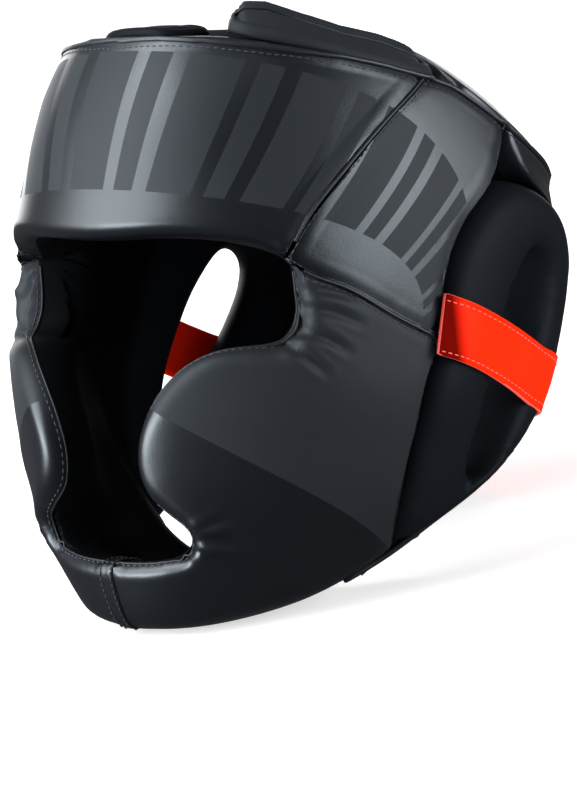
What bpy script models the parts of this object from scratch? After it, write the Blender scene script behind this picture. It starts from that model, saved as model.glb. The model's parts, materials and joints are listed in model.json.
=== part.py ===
"""A full-face boxing headgear of padded leather, unworn, resting on its chin bar and its back rim.

It is modelled as it is worn, with the face towards -Y, the wearer's left towards +X and the height measured from
the underside of the chin, and then tilted back about X until the chin bar and the back rim both stand on Z = 0.
A place on it is a turn, in degrees round from the face towards the left ear, and a height. Every pad is a block
bent over the head form, so that neighbours share the curve of their seam. Metres throughout.
"""

import math

import bmesh
import bpy
import numpy as np
from mathutils import Matrix, Vector

# Sizes of the head form, over the outside of the leather
HALF_WIDTH = 0.112
FRONT_REACH = 0.121
BACK_REACH = 0.137
BAND_TOP = 0.254

# Walls and clearances; how far the temple and back pads keep from the ring is counted in ring gaps
PAD = 0.023
EAR_RING_PROUD = 0.004
EAR_RING_GAP = 0.0010
TEMPLE_GAPS = 3.7
BACK_GAPS = 3.4
RING_LEG = 0.030
RING_SQUARENESS = 0.72
CROWN_WALL = 0.006
CROWN_FRONT_WALL = 0.0045
CROWN_BACK_WALL = 0.0095
CROWN_SINK = 0.0010
FLAP_SINK = 0.0020
CROWN_BACK_SINK = 0.0040
CROWN_RISE = 0.004
CROWN_INSET = 0.006
CROWN_FULLNESS = 2.3
FLAP_LIFT = 0.0085
STRAP_WIDTH = 0.027
STRAP_WALL = 0.0018
RIM_RADIUS = 0.0017
RIM_DROP = 0.0018
RIM_DEPTH = 0.004
CLEARANCE = 0.0004
SEAM_MARGIN = 0.0030
FLOOR_CUT = 0.0008
CLOSURE_WIDTH = 0.052
CLOSURE_HEIGHT = 0.034
CLOSURE_WALL = 0.0012

# The head form: shares of BAND_TOP, HALF_WIDTH, FRONT_REACH and BACK_REACH, and how square each section is
HEAD_FORM = (
    # height, width, front, back, squareness
    (-0.03, 0.52, 0.76, 0.63, 2.6),
    (0.02, 0.60, 0.82, 0.66, 2.7),
    (0.10, 0.72, 0.88, 0.71, 2.6),
    (0.20, 0.885, 0.935, 0.77, 2.65),
    (0.29, 0.95, 0.965, 0.82, 2.5),
    (0.37, 0.99, 0.99, 0.86, 2.35),
    (0.43, 1.00, 1.00, 0.90, 2.3),
    (0.55, 0.975, 0.985, 0.98, 2.3),
    (0.65, 0.96, 1.00, 1.01, 2.35),
    (0.75, 0.935, 0.975, 1.00, 2.4),
    (0.81, 0.90, 0.95, 0.955, 2.5),
    (0.87, 0.865, 0.925, 0.90, 2.6),
    (0.945, 0.795, 0.86, 0.79, 2.75),
    (1.00, 0.725, 0.795, 0.70, 2.8),
    (1.06, 0.62, 0.68, 0.58, 2.8),
)

# Places along the edges, a turn in degrees and a height as a share of BAND_TOP
BROW_EDGE = ((46.6, 0.624), (42.6, 0.640), (37.6, 0.650), (29.6, 0.658), (23.3, 0.660), (14.3, 0.657), (0, 0.653))
BAND_EDGE_FRONT = ((0, 1.0), (15.5, 1.002), (31.4, 0.999), (43, 0.990), (51.5, 0.982), (67.3, 0.965), (91.3, 0.938))
BAND_EDGE_SIDE = ((91.3, 0.938), (100.9, 0.922), (109.5, 0.891), (117.5, 0.860))
BAND_EDGE_BACK = ((117.5, 0.860), (128.5, 0.820), (140, 0.785), (160, 0.755), (180, 0.745))
TEMPLE_SEAM = ((46.6, 0.624), (51.9, 0.699), (60.3, 0.774), (72.9, 0.858), (91.3, 0.938))
CHEEK_SEAM = ((46.6, 0.624), (52.2, 0.600), (59.4, 0.580), (72.8, 0.527), (84.2, 0.490))
NAPE_EDGE = ((140, 0.385), (150, 0.31), (164, 0.165), (180, 0.145))

# Sections of the face guard from the cheek seam down to the chin seam: its inner and its outer edge
FACE_GUARD = (
    # share, inner turn, inner height, outer turn, outer height
    (0.00, 46.6, 0.624, 84.2, 0.490),
    (0.05, 49.8, 0.563, 81.8, 0.450),
    (0.10, 49.8, 0.510, 79.8, 0.413),
    (0.15, 46.5, 0.486, 78.8, 0.380),
    (0.21, 39.0, 0.478, 77.9, 0.340),
    (0.28, 30.0, 0.466, 77.0, 0.300),
    (0.35, 23.0, 0.424, 76.4, 0.262),
    (0.42, 17.3, 0.368, 76.2, 0.228),
    (0.49, 13.9, 0.305, 76.6, 0.190),
    (0.56, 14.9, 0.246, 79.0, 0.146),
    (0.63, 20.2, 0.206, 80.8, 0.122),
    (0.70, 24.8, 0.168, 70.0, 0.078),
    (0.76, 23.8, 0.133, 55.0, 0.038),
    (0.83, 16.5, 0.117, 40.0, 0.014),
    (0.91, 8.5, 0.111, 22.0, -0.006),
    (1.00, 0.0, 0.109, 0.0, -0.014),
)

# Sections of the padded ring round the ear opening, from its top down the front leg and up the rear one
EAR_RING = (
    # outer turn, outer height, hole turn, hole height
    (116.0, 0.768, 120.5, 0.630),
    (105.5, 0.742, 118.0, 0.618),
    (96.3, 0.689, 115.0, 0.589),
    (89.6, 0.624, 111.8, 0.555),
    (86.2, 0.559, 109.0, 0.520),
    (84.2, 0.490, 105.8, 0.469),
    (79.8, 0.413, 102.8, 0.417),
    (77.9, 0.340, 100.3, 0.362),
    (76.4, 0.262, 98.8, 0.311),
    (76.6, 0.190, 99.0, 0.276),
    (80.8, 0.122, 100.2, 0.260),
    (93.0, 0.187, 101.5, 0.258),
    (105.0, 0.238, 103.0, 0.264),
    (113.5, 0.283, 104.8, 0.283),
    (121.5, 0.333, 107.2, 0.315),
    (131.0, 0.398, 111.5, 0.366),
    (138.5, 0.472, 116.5, 0.429),
    (142.5, 0.551, 121.0, 0.496),
    (142.5, 0.630, 124.3, 0.563),
    (136.5, 0.699, 124.6, 0.606),
    (127.0, 0.745, 122.8, 0.626),
)
RING_CHEEK_ROW = 5
RING_CORNER_ROW = 10
RING_NAPE_ROW = 15

# The side strap from its sewn end round to the back: its stand-off is a share of EAR_RING_PROUD
SIDE_STRAP = (
    # share, turn, height, stand-off
    (0.00, 83.2, 0.517, 0.50),
    (0.10, 90.6, 0.501, 1.20),
    (0.20, 100.5, 0.472, 1.30),
    (0.30, 111.8, 0.435, 1.15),
    (0.40, 122.5, 0.402, 1.15),
    (0.50, 134.0, 0.373, 0.75),
    (0.62, 146.0, 0.350, 0.35),
    (0.76, 163.0, 0.330, 0.60),
    (0.90, 180.0, 0.322, 0.75),
    (1.00, 193.0, 0.322, 0.75),
)
STRAP_UNDER_END = 0.88
STRAP_OVER_START = 0.70
STRAP_STEP = 0.02

# Where the bound strip along the bottom edge begins under the jaw
RIM_START = (66.0, 0.077)

# The crown pieces: where each section leaves the band, and where it ends over the crown in shares of HALF_WIDTH
CROWN_FRONT = ((-22, -0.16, -0.47), (-11, -0.08, -0.48), (0, 0.0, -0.48), (11, 0.08, -0.48), (22, 0.16, -0.47))
FLAP_LEFT = ((36, 0.20, -0.36), (56, -0.08, -0.20), (79, -0.12, 0.06), (105, 0.00, 0.28))
FLAP_RIGHT = ((-38, 0.00, -0.32), (-56, 0.12, -0.18), (-78, 0.12, 0.06), (-100, 0.04, 0.24))
CROWN_BACK = ((109, 0.60, 0.26), (130, 0.36, 0.31), (154, 0.16, 0.33), (180, 0.0, 0.34))

BLACK_LEATHER = ((0.012, 0.013, 0.016, 1.0), 0.38)
MATTE_LEATHER = ((0.020, 0.022, 0.026, 1.0), 0.65)
ORANGE_LEATHER = ((1.0, 0.06, 0.0, 1.0), 0.30)
PATCH_FELT = ((0.015, 0.015, 0.017, 1.0), 0.95)


def read(rows, at, closed=False):
    """The values of a table at a share of its first column, as a smooth curve through the rows."""
    rows = np.array(rows, float)
    keys, values = rows[:, 0], rows[:, 1:]
    if closed:
        keys = np.concatenate([keys[-2:] - 1, keys, keys[:3] + 1])
        values = np.concatenate([values[-2:], values, values[:3]])
    slopes = np.gradient(values, keys, axis=0)
    at = min(max(at, keys[0]), keys[-1])
    i = min(int(np.searchsorted(keys, at, side="right")) - 1, len(keys) - 2)
    span = keys[i + 1] - keys[i]
    t = (at - keys[i]) / span
    return (
        values[i] * (2 * t**3 - 3 * t**2 + 1)
        + slopes[i] * span * (t**3 - 2 * t**2 + t)
        + values[i + 1] * (3 * t**2 - 2 * t**3)
        + slopes[i + 1] * span * (t**3 - t**2)
    )


def form_radius(turn, height, depth=0.0):
    """Distance of the head form from its axis at a turn and a height, sunk by a depth."""
    width, front, back, power = read(HEAD_FORM, height / BAND_TOP)
    angle = math.radians(turn)
    half = width * HALF_WIDTH - depth
    reach = (front * FRONT_REACH if math.cos(angle) > 0 else back * BACK_REACH) - depth
    return (abs(math.sin(angle) / half) ** power + abs(math.cos(angle) / reach) ** power) ** (-1 / power)


def form_point(turn, height, depth=0.0):
    radius = form_radius(turn, height, depth)
    angle = math.radians(turn)
    return Vector((radius * math.sin(angle), -radius * math.cos(angle), height))


def edge(points):
    """Rows of a curve on the head form, with the share of its length in front of each turn and height."""
    places = [form_point(turn, height * BAND_TOP) for turn, height in points]
    steps = [0.0] + [(b - a).length for a, b in zip(places, places[1:])]
    lengths = np.cumsum(steps)
    return [(run / lengths[-1], turn, height) for run, (turn, height) in zip(lengths, points)]


def run_of(points):
    """Length of a curve on the head form."""
    places = [form_point(turn, height * BAND_TOP) for turn, height in points]
    return sum((b - a).length for a, b in zip(places, places[1:]))


def ring_outline(first, last, away):
    """The ring's outer edge between two rows, moved round by a gap, for the pad that lies along it."""
    step = 1 if last > first else -1
    places = []
    for row in range(first, last + step, step):
        turn, height, _, _ = EAR_RING[row % len(EAR_RING)]
        shift = math.degrees(away / form_radius(turn, height * BAND_TOP))
        places.append((turn + shift, height))
    return places


def joined_at_middle(points):
    """An edge given for the left half, from the middle outwards, made whole from right to left."""
    right = [(-turn, height) for turn, height in reversed(points[1:])]
    return right + list(points)


def patch(bottom, top, start, end):
    """A function of two shares, along and up, that fills the four edges with turns and heights."""
    corners = [read(bottom, 0), read(bottom, 1), read(top, 0), read(top, 1)]

    def place(along, up):
        ruled = (1 - up) * read(bottom, along) + up * read(top, along)
        crossed = (1 - along) * read(start, up) + along * read(end, up)
        flat = (1 - up) * ((1 - along) * corners[0] + along * corners[1])
        flat = flat + up * ((1 - along) * corners[2] + along * corners[3])
        return ruled + crossed - flat

    return place


def shares(count, length, margin=SEAM_MARGIN):
    """Even shares of a length, with one more near each end that keeps the seam tight, and the clearance left off."""
    spare = CLEARANCE / length / 2
    inner = [spare + (1 - 2 * spare) * k / count for k in range(1, count)]
    near = margin / length
    return [spare, spare + near, *inner, 1 - spare - near, 1 - spare]


def block(columns, rows, layers):
    """A closed block whose vertices lie at whole steps, to be bent by its maker."""
    mesh = bmesh.new()
    bmesh.ops.create_cube(mesh, size=1.0, matrix=Matrix.Translation((0.5, 0.5, 0.5)))
    for axis, count in enumerate((columns, rows, layers)):
        across = [
            e for e in mesh.edges
            if abs((e.verts[0].co - e.verts[1].co)[axis]) > 0.5
        ]
        if count > 1:
            bmesh.ops.subdivide_edges(mesh, edges=across, cuts=count - 1, use_grid_fill=True)
    return mesh


def finished(name, mesh, colour, rounding=0):
    """An object from a bmesh, its edges rounded by Subdivision Surface."""
    if mesh.calc_volume(signed=True) < 0:
        bmesh.ops.reverse_faces(mesh, faces=mesh.faces)
    data = bpy.data.meshes.new(name)
    mesh.to_mesh(data)
    mesh.free()
    return dressed(name, data, colour, rounding)


def dressed(name, data, colour, rounding=0):
    piece = bpy.data.objects.new(name, data)
    collection.objects.link(piece)
    if rounding:
        modifier = piece.modifiers.new("rounding", "SUBSURF")
        modifier.levels = modifier.render_levels = rounding
    data.shade_smooth()
    data.materials.clear()
    data.materials.append(colour)
    piece.parent = stance
    return piece


def material(name, finish):
    colour, roughness = finish
    made = bpy.data.materials.new(name)
    made.use_nodes = True
    shader = made.node_tree.nodes["Principled BSDF"]
    shader.inputs["Base Color"].default_value = colour
    shader.inputs["Roughness"].default_value = roughness
    made.diffuse_color = colour
    return made


def bent_pad(name, place, along_shares, up_shares, colour, depth=PAD, side=1):
    """A block bent over the head form, with its outer face on the form and its inner one sunk by the pad."""
    mesh = block(len(along_shares) - 1, len(up_shares) - 1, 1)
    steps = (len(along_shares) - 1, len(up_shares) - 1)
    for vertex in mesh.verts:
        along = along_shares[round(vertex.co.x * steps[0])]
        up = up_shares[round(vertex.co.y * steps[1])]
        turn, height = place(along, up)
        vertex.co = form_point(side * turn, height * BAND_TOP, depth * (1 - vertex.co.z))
    return finished(name, mesh, colour, rounding=1)


def forehead():
    bottom = edge(joined_at_middle(BROW_EDGE[::-1]))
    top = edge(joined_at_middle(BAND_EDGE_FRONT))
    left = edge(TEMPLE_SEAM)
    right = [(share, -turn, height) for share, turn, height in left]
    place = patch(bottom, top, right, left)
    along = shares(10, run_of(joined_at_middle(BROW_EDGE[::-1])))
    return bent_pad("forehead_pad", place, along, shares(4, run_of(TEMPLE_SEAM)), leather)


def temple(side, word):
    ring = ring_outline(RING_CHEEK_ROW, 0, -TEMPLE_GAPS * EAR_RING_GAP)
    ring[0] = CHEEK_SEAM[-1]
    place = patch(edge(CHEEK_SEAM), edge(BAND_EDGE_SIDE), edge(TEMPLE_SEAM), edge(ring + [BAND_EDGE_SIDE[-1]]))
    along, up = shares(3, run_of(CHEEK_SEAM)), shares(4, run_of(TEMPLE_SEAM))
    return bent_pad(f"temple_pad_{word}", place, along, up, leather, side=side)


def face_guard(side, word):
    inner = [row[:3] for row in FACE_GUARD]
    outer = [(row[0], *row[3:]) for row in FACE_GUARD]
    chin = edge([FACE_GUARD[-1][1:3], FACE_GUARD[-1][3:]])
    place = patch(inner, outer, edge(CHEEK_SEAM), chin)
    along = shares(16, run_of([row[3:] for row in FACE_GUARD]))
    return bent_pad(f"face_guard_{word}", place, along, shares(3, run_of(CHEEK_SEAM)), leather, side=side)


def back():
    side_edge = ring_outline(RING_NAPE_ROW, len(EAR_RING), BACK_GAPS * EAR_RING_GAP) + [BAND_EDGE_BACK[0]]
    left = edge(side_edge)
    right = [(share, 360 - turn, height) for share, turn, height in left]
    nape = [side_edge[0], *NAPE_EDGE]
    bottom = edge([*nape, *[(360 - turn, height) for turn, height in nape[-2::-1]]])
    top = edge([*BAND_EDGE_BACK, *[(360 - turn, height) for turn, height in BAND_EDGE_BACK[-2::-1]]])
    place = patch(bottom, top, left, right)
    return bent_pad("back_pad", place, shares(8, run_of(nape) * 2), shares(6, run_of(side_edge)), leather)


def ear_guard(side, word):
    """A fat ring round the ear opening, from a torus bent over the head form."""
    around, across = 32, 10
    rows = [(i / len(EAR_RING), *row) for i, row in enumerate(EAR_RING)]
    mesh = bmesh.new()
    data = torus_mesh(around, across)
    mesh.from_mesh(data)
    bpy.data.meshes.remove(data)
    for vertex in mesh.verts:
        turn_round = math.atan2(vertex.co.y, vertex.co.x) / math.tau % 1
        out = math.hypot(vertex.co.x, vertex.co.y) - 1
        beta = math.atan2(vertex.co.z, out)
        outer_turn, outer_height, hole_turn, hole_height = read(rows, turn_round, closed=True)
        across_share = squared(math.cos(beta))
        raised = squared(math.sin(beta))
        share = 0.5 + across_share * (0.5 - CLEARANCE / RING_LEG)
        turn = hole_turn + share * (outer_turn - hole_turn)
        height = hole_height + share * (outer_height - hole_height)
        depth = (PAD - EAR_RING_PROUD) / 2 - raised * (PAD + EAR_RING_PROUD) / 2
        vertex.co = form_point(side * turn, height * BAND_TOP, depth)
    return finished(f"ear_guard_{word}", mesh, matte)


def squared(value):
    """A sine or cosine drawn out towards its ends, for a ring section with flatter faces."""
    return math.copysign(abs(value) ** RING_SQUARENESS, value)


def torus_mesh(around, across):
    bpy.ops.mesh.primitive_torus_add(
        major_segments=around, minor_segments=across, major_radius=1.0, minor_radius=0.4
    )
    made = bpy.context.object
    data = made.data
    bpy.data.objects.remove(made)
    return data


def strap(side, word, last=1.0, lift=0.0):
    """A flat strap over the ear ring to the back, where a lift carries it over the other one."""
    mesh = block(20, 2, 1)
    for vertex in mesh.verts:
        share = vertex.co.x * last
        turn, height, off = read(SIDE_STRAP, share)
        before = read(SIDE_STRAP, max(share - STRAP_STEP, 0))
        after = read(SIDE_STRAP, min(share + STRAP_STEP, 1))
        run = form_point(after[0], after[1] * BAND_TOP) - form_point(before[0], before[1] * BAND_TOP)
        slope = math.atan2(run.z, math.hypot(run.x, run.y))
        across = (vertex.co.y - 0.5) * STRAP_WIDTH
        radius = form_radius(turn, height * BAND_TOP)
        turn_shift = math.degrees(-across * math.sin(slope) / radius)
        over = min(max((share - STRAP_OVER_START) / (STRAP_UNDER_END - STRAP_OVER_START), 0), 1)
        rise = STRAP_WALL * vertex.co.z + lift * over * over * (3 - 2 * over)
        vertex.co = form_point(
            side * (turn + turn_shift), height * BAND_TOP + across * math.cos(slope), -off * EAR_RING_PROUD - rise
        )
    return finished(f"side_strap_{word}", mesh, orange)


def closure():
    """The hook-and-loop patch under the strap ends, on the back pad."""
    mesh = block(8, 4, 1)
    for vertex in mesh.verts:
        turn = 180 + math.degrees((vertex.co.x - 0.5) * CLOSURE_WIDTH / form_radius(180, SIDE_STRAP[-1][2] * BAND_TOP))
        height = SIDE_STRAP[-1][2] * BAND_TOP + (vertex.co.y - 0.5) * CLOSURE_HEIGHT
        vertex.co = form_point(turn, height, -CLEARANCE - CLOSURE_WALL * vertex.co.z)
    return finished("closure_patch", mesh, felt)


def dome_point(x, y, lift):
    """A point of the crown's dome over a place in plan, which rises from the top edge of the band."""
    turn = math.degrees(math.atan2(x, -y)) % 360
    edge_height = band_height(turn if turn <= 180 else 360 - turn)
    reach = form_radius(turn, edge_height, CROWN_INSET)
    share = min(math.hypot(x, y) / reach, 1.0)
    top = BAND_TOP + CROWN_RISE
    return Vector((x, y, edge_height + (top - edge_height) * (1 - share**CROWN_FULLNESS) + lift))


def band_height(turn):
    rows = [*BAND_EDGE_FRONT, *BAND_EDGE_SIDE[1:], *BAND_EDGE_BACK[1:]]
    return read(rows, turn)[0] * BAND_TOP


def crown_piece(name, sections, columns, rows, colour, wall=CROWN_WALL, lift=0.0, sink=CROWN_SINK):
    """A thin pad from the band's edge over the crown, one section for each place where it leaves the band."""
    keyed = [(i / (len(sections) - 1), *section) for i, section in enumerate(sections)]
    mesh = block(columns, rows, 1)
    for vertex in mesh.verts:
        band_turn, end_x, end_y = read(keyed, vertex.co.x)
        height = band_height(abs(band_turn) if abs(band_turn) <= 180 else 360 - abs(band_turn))
        start = form_point(band_turn, height, CROWN_INSET)
        out = vertex.co.y
        x = start.x + out * (end_x * HALF_WIDTH - start.x)
        y = start.y + out * (end_y * HALF_WIDTH - start.y)
        raised = lift * math.sin(out * math.pi / 2) + wall * vertex.co.z - sink
        vertex.co = dome_point(x, y, raised)
    return finished(name, mesh, colour, rounding=1)


def crown():
    left_back = list(CROWN_BACK)
    right_back = [(360 - turn, -x, y) for turn, x, y in CROWN_BACK[-2::-1]]
    return [
        crown_piece("crown_front", CROWN_FRONT, 5, 2, leather, wall=CROWN_FRONT_WALL),
        crown_piece("crown_flap_right", FLAP_RIGHT, 5, 4, matte),
        crown_piece("crown_flap_left", FLAP_LEFT, 5, 4, matte, lift=FLAP_LIFT, sink=FLAP_SINK),
        crown_piece("crown_back", left_back + right_back, 7, 3, leather, wall=CROWN_BACK_WALL, sink=CROWN_BACK_SINK),
    ]


def rim(side, word):
    """The bound strip along the bottom edge, from the jaw to the nape."""
    ring = [row[:2] for row in EAR_RING[RING_CORNER_ROW : RING_NAPE_ROW + 1]]
    route = edge([RIM_START, *ring])
    line = bpy.data.curves.new(f"rim_{word}", "CURVE")
    line.dimensions = "3D"
    line.bevel_depth = RIM_RADIUS
    line.bevel_resolution = 1
    line.use_fill_caps = True
    spline = line.splines.new("POLY")
    count = 12
    spline.points.add(count)
    for i in range(count + 1):
        turn, height = read(route, i / count)
        place = form_point(side * turn, height * BAND_TOP - RIM_RADIUS - RIM_DROP, RIM_DEPTH)
        spline.points[i].co = (*place, 1.0)
    piece = bpy.data.objects.new(f"rim_{word}", line)
    collection.objects.link(piece)
    line.materials.append(leather)
    piece.parent = stance
    return piece


def lowest(pieces, tilt):
    """Height of the lowest point of the pieces once the headgear is tilted back."""
    turned = Matrix.Rotation(-tilt, 3, "X")
    graph = bpy.context.evaluated_depsgraph_get()
    found = 1.0
    for piece in pieces:
        mesh = piece.evaluated_get(graph).to_mesh()
        found = min([found, *[(turned @ vertex.co).z for vertex in mesh.vertices]])
        piece.evaluated_get(graph).to_mesh_clear()
    return found


def stand(chin_pieces, back_pieces, pieces):
    """Tilts the headgear back until chin and back rim are level, and stands it on Z = 0 over the origin."""
    low, high = math.radians(2), math.radians(30)
    for _ in range(24):
        tilt = (low + high) / 2
        if lowest(chin_pieces, tilt) < lowest(back_pieces, tilt):
            low = tilt
        else:
            high = tilt
    stance.rotation_euler = (-tilt, 0, 0)
    stance.location = (0, 0, -lowest(chin_pieces, tilt) - FLOOR_CUT)
    bpy.context.view_layer.update()
    graph = bpy.context.evaluated_depsgraph_get()
    reach = []
    for piece in pieces:
        mesh = piece.evaluated_get(graph).to_mesh()
        reach += [(piece.matrix_world @ vertex.co).y for vertex in mesh.vertices]
        piece.evaluated_get(graph).to_mesh_clear()
    stance.location.y = -(min(reach) + max(reach)) / 2
    bpy.ops.mesh.primitive_cube_add(size=1.0, location=(0, 0, -0.5))
    floor = bpy.context.object
    floor.name = "floor_cutter"
    floor.hide_render = True
    floor.display_type = "WIRE"
    for piece in chin_pieces + back_pieces:
        flat = piece.modifiers.new("flat underside", "BOOLEAN")
        flat.operation = "DIFFERENCE"
        flat.object = floor
    return math.degrees(tilt)


for leftover in list(bpy.data.objects):
    bpy.data.objects.remove(leftover)
collection = bpy.data.collections.new("boxing_headgear")
bpy.context.scene.collection.children.link(collection)
stance = bpy.data.objects.new("stance", None)
collection.objects.link(stance)
leather = material("gloss_leather", BLACK_LEATHER)
matte = material("matte_leather", MATTE_LEATHER)
orange = material("orange_leather", ORANGE_LEATHER)
felt = material("loop_patch", PATCH_FELT)

guards = [face_guard(1, "left"), face_guard(-1, "right")]
rear = back()
others = [forehead(), closure()]
others += [temple(1, "left"), temple(-1, "right")]
others += [ear_guard(1, "left"), ear_guard(-1, "right")]
others += [strap(1, "left", 1.0, STRAP_WALL + CLEARANCE), strap(-1, "right", STRAP_UNDER_END)]
others += [rim(1, "left"), rim(-1, "right")]
others += crown()
stance_tilt = stand(guards, [rear], guards + [rear] + others)
print(f"tilted back by {stance_tilt:.2f} degrees")
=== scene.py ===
"""Looks of a full-face boxing headgear of padded leather: pads, ear rings, straps, trim and studio.

The pads, rings and straps are copies of their CAD solids, made smooth and then shaped in the headgear's own
terms. The headgear stands tilted back; as it is worn, a place on it is a turn, in degrees round from the face
towards the left ear, a height from the underside of the chin and a depth under the outside of the leather.
Metres throughout.
"""

import json
import math

import bmesh
import bpy
import numpy as np
from bpy.props import FloatProperty, FloatVectorProperty, PointerProperty
from mathutils import Matrix, Vector, noise
from mathutils.bvhtree import BVHTree

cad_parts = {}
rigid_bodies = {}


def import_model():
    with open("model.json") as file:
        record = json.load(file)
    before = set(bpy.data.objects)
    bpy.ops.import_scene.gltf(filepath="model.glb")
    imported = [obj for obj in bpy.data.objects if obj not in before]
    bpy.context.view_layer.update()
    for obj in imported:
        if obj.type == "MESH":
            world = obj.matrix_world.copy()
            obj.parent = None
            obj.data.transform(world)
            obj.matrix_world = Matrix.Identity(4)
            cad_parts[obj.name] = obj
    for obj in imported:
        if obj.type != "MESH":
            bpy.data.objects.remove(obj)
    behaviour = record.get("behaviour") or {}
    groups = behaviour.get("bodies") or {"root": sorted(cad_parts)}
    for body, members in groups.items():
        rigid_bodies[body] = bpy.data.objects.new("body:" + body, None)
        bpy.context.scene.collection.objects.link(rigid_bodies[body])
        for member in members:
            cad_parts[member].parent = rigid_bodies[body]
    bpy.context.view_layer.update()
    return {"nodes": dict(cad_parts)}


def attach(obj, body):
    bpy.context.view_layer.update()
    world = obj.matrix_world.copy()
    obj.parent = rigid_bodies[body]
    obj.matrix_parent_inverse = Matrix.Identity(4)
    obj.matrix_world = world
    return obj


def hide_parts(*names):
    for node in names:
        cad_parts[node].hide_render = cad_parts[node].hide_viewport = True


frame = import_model()

bl_info = {
    "name": "Boxing Headgear",
    "version": (1, 0, 0),
    "blender": (4, 5, 0),
    "location": "3D View > Sidebar > Headgear",
    "description": "Padded leather, straps, stitching and studio of a full-face boxing headgear",
    "category": "Object",
}

# Sizes that the CAD solids were made from
HALF_WIDTH = 0.112
FRONT_REACH = 0.121
BACK_REACH = 0.137
BAND_TOP = 0.254
PAD = 0.023
STANCE_TILT = math.asin(0.239135280)
STANCE_SHIFT = np.array((0.0, -0.039551362, -0.015686208))

HEAD_FORM = np.array((
    # height, width, front, back, squareness
    (-0.03, 0.52, 0.76, 0.63, 2.6),
    (0.02, 0.60, 0.82, 0.66, 2.7),
    (0.10, 0.72, 0.88, 0.71, 2.6),
    (0.20, 0.885, 0.935, 0.77, 2.65),
    (0.29, 0.95, 0.965, 0.82, 2.5),
    (0.37, 0.99, 0.99, 0.86, 2.35),
    (0.43, 1.00, 1.00, 0.90, 2.3),
    (0.55, 0.975, 0.985, 0.98, 2.3),
    (0.65, 0.96, 1.00, 1.01, 2.35),
    (0.75, 0.935, 0.975, 1.00, 2.4),
    (0.81, 0.90, 0.95, 0.955, 2.5),
    (0.87, 0.865, 0.925, 0.90, 2.6),
    (0.945, 0.795, 0.86, 0.79, 2.75),
    (1.00, 0.725, 0.795, 0.70, 2.8),
    (1.06, 0.62, 0.68, 0.58, 2.8),
))

# The lining starts at a share of the pad's thickness, or nearer the outside round the face opening
LINING_FROM = 0.52
OPENING_REACH = 0.016
LINING_BLEND = 0.004

# Filler cord inside the seams
WELT = 0.0030
WELT_DEPTH = 0.0075

# Thin cord that shows in the seams of the temple, and the filler behind the lower rear corner of the cheek
CORD = 0.0008
CORD_DEPTH = 0.0011
FILLER = 0.0045
FILLER_DEPTH = 0.0095
CORNER_FILLER = ((73, 0.092), (77, 0.112), (81, 0.130), (86, 0.146), (91, 0.160))

# Radius of a pad's edge along a seam, in the CAD solids and as sewn
CAD_ROUNDING = 0.0028
SEAM_ROUNDING = 0.0008

# How far a rolled edge stands out beyond its line, as a share of the roll, and how thick it is there, as a
# share of the pad
NOSE_GROWTH = 0.55
NOSE_LEAST = 0.22

# Edges and seams of the left half: a turn in degrees and a height as a share of BAND_TOP
BROW = (
    (0, 0.653), (14.3, 0.657), (23.3, 0.660), (29.6, 0.658), (37.6, 0.650), (42.6, 0.640), (46.6, 0.624),
)
GUARD_INNER = (
    (46.6, 0.624), (49.8, 0.563), (49.8, 0.510), (46.5, 0.486), (39.0, 0.478), (30.0, 0.466),
    (23.0, 0.424), (17.3, 0.368), (13.9, 0.305), (14.9, 0.246), (20.2, 0.206), (24.8, 0.168),
    (23.8, 0.133), (16.5, 0.117), (8.5, 0.111), (0.0, 0.109),
)
GUARD_BOTTOM = ((0, -0.014), (22, -0.006), (40, 0.014), (55, 0.038), (70, 0.078), (80.8, 0.122))
GUARD_REAR = ((80.8, 0.122), (76.6, 0.190), (76.4, 0.262), (77.9, 0.340), (79.8, 0.413), (84.2, 0.490))
BAND_FRONT = (
    (0, 1.0), (15.5, 1.002), (31.4, 0.999), (43, 0.990), (51.5, 0.982), (67.3, 0.965), (91.3, 0.938),
)
BAND_SIDE = ((91.3, 0.938), (100.9, 0.922), (109.5, 0.891), (117.5, 0.860))
BAND_BACK = ((117.5, 0.860), (128.5, 0.820), (140, 0.785), (160, 0.755), (180, 0.745))
WHOLE_BAND = (*BAND_FRONT, *BAND_SIDE[1:], *BAND_BACK[1:])
TEMPLE_SEAM = ((46.6, 0.624), (51.9, 0.699), (60.3, 0.774), (72.9, 0.858), (91.3, 0.938))
CHEEK_SEAM = ((46.6, 0.624), (52.2, 0.600), (59.4, 0.580), (72.8, 0.527), (84.2, 0.490))
TEMPLE_REAR = ((84.2, 0.490), (86.0, 0.559), (89.0, 0.624), (95.0, 0.689), (104.0, 0.742), (117.5, 0.860))
TEMPLE_TIP = ((46.4, 0.634), (46.6, 0.624), (46.4, 0.614))
CHIN_SEAM = ((0, 0.109), (0, 0.05), (0, -0.014))
NAPE = ((131, 0.398), (140, 0.385), (150, 0.31), (164, 0.165), (180, 0.145))

OPENING_START = (48.2, 0.606)
EAR_HOLE = (
    (120.5, 0.630), (115.0, 0.589), (109.0, 0.520), (102.8, 0.417), (98.8, 0.311), (100.2, 0.260),
    (103.0, 0.264), (107.2, 0.315), (116.5, 0.429), (124.3, 0.563), (120.5, 0.630),
)

# The side strap from its sewn end round to the back
SIDE_STRAP = (
    (83.2, 0.517), (90.6, 0.501), (100.5, 0.472), (111.8, 0.435), (122.5, 0.402), (134.0, 0.373),
    (146.0, 0.350), (163.0, 0.330), (180.0, 0.322),
)
STRAP_WIDTH = 0.027

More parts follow.
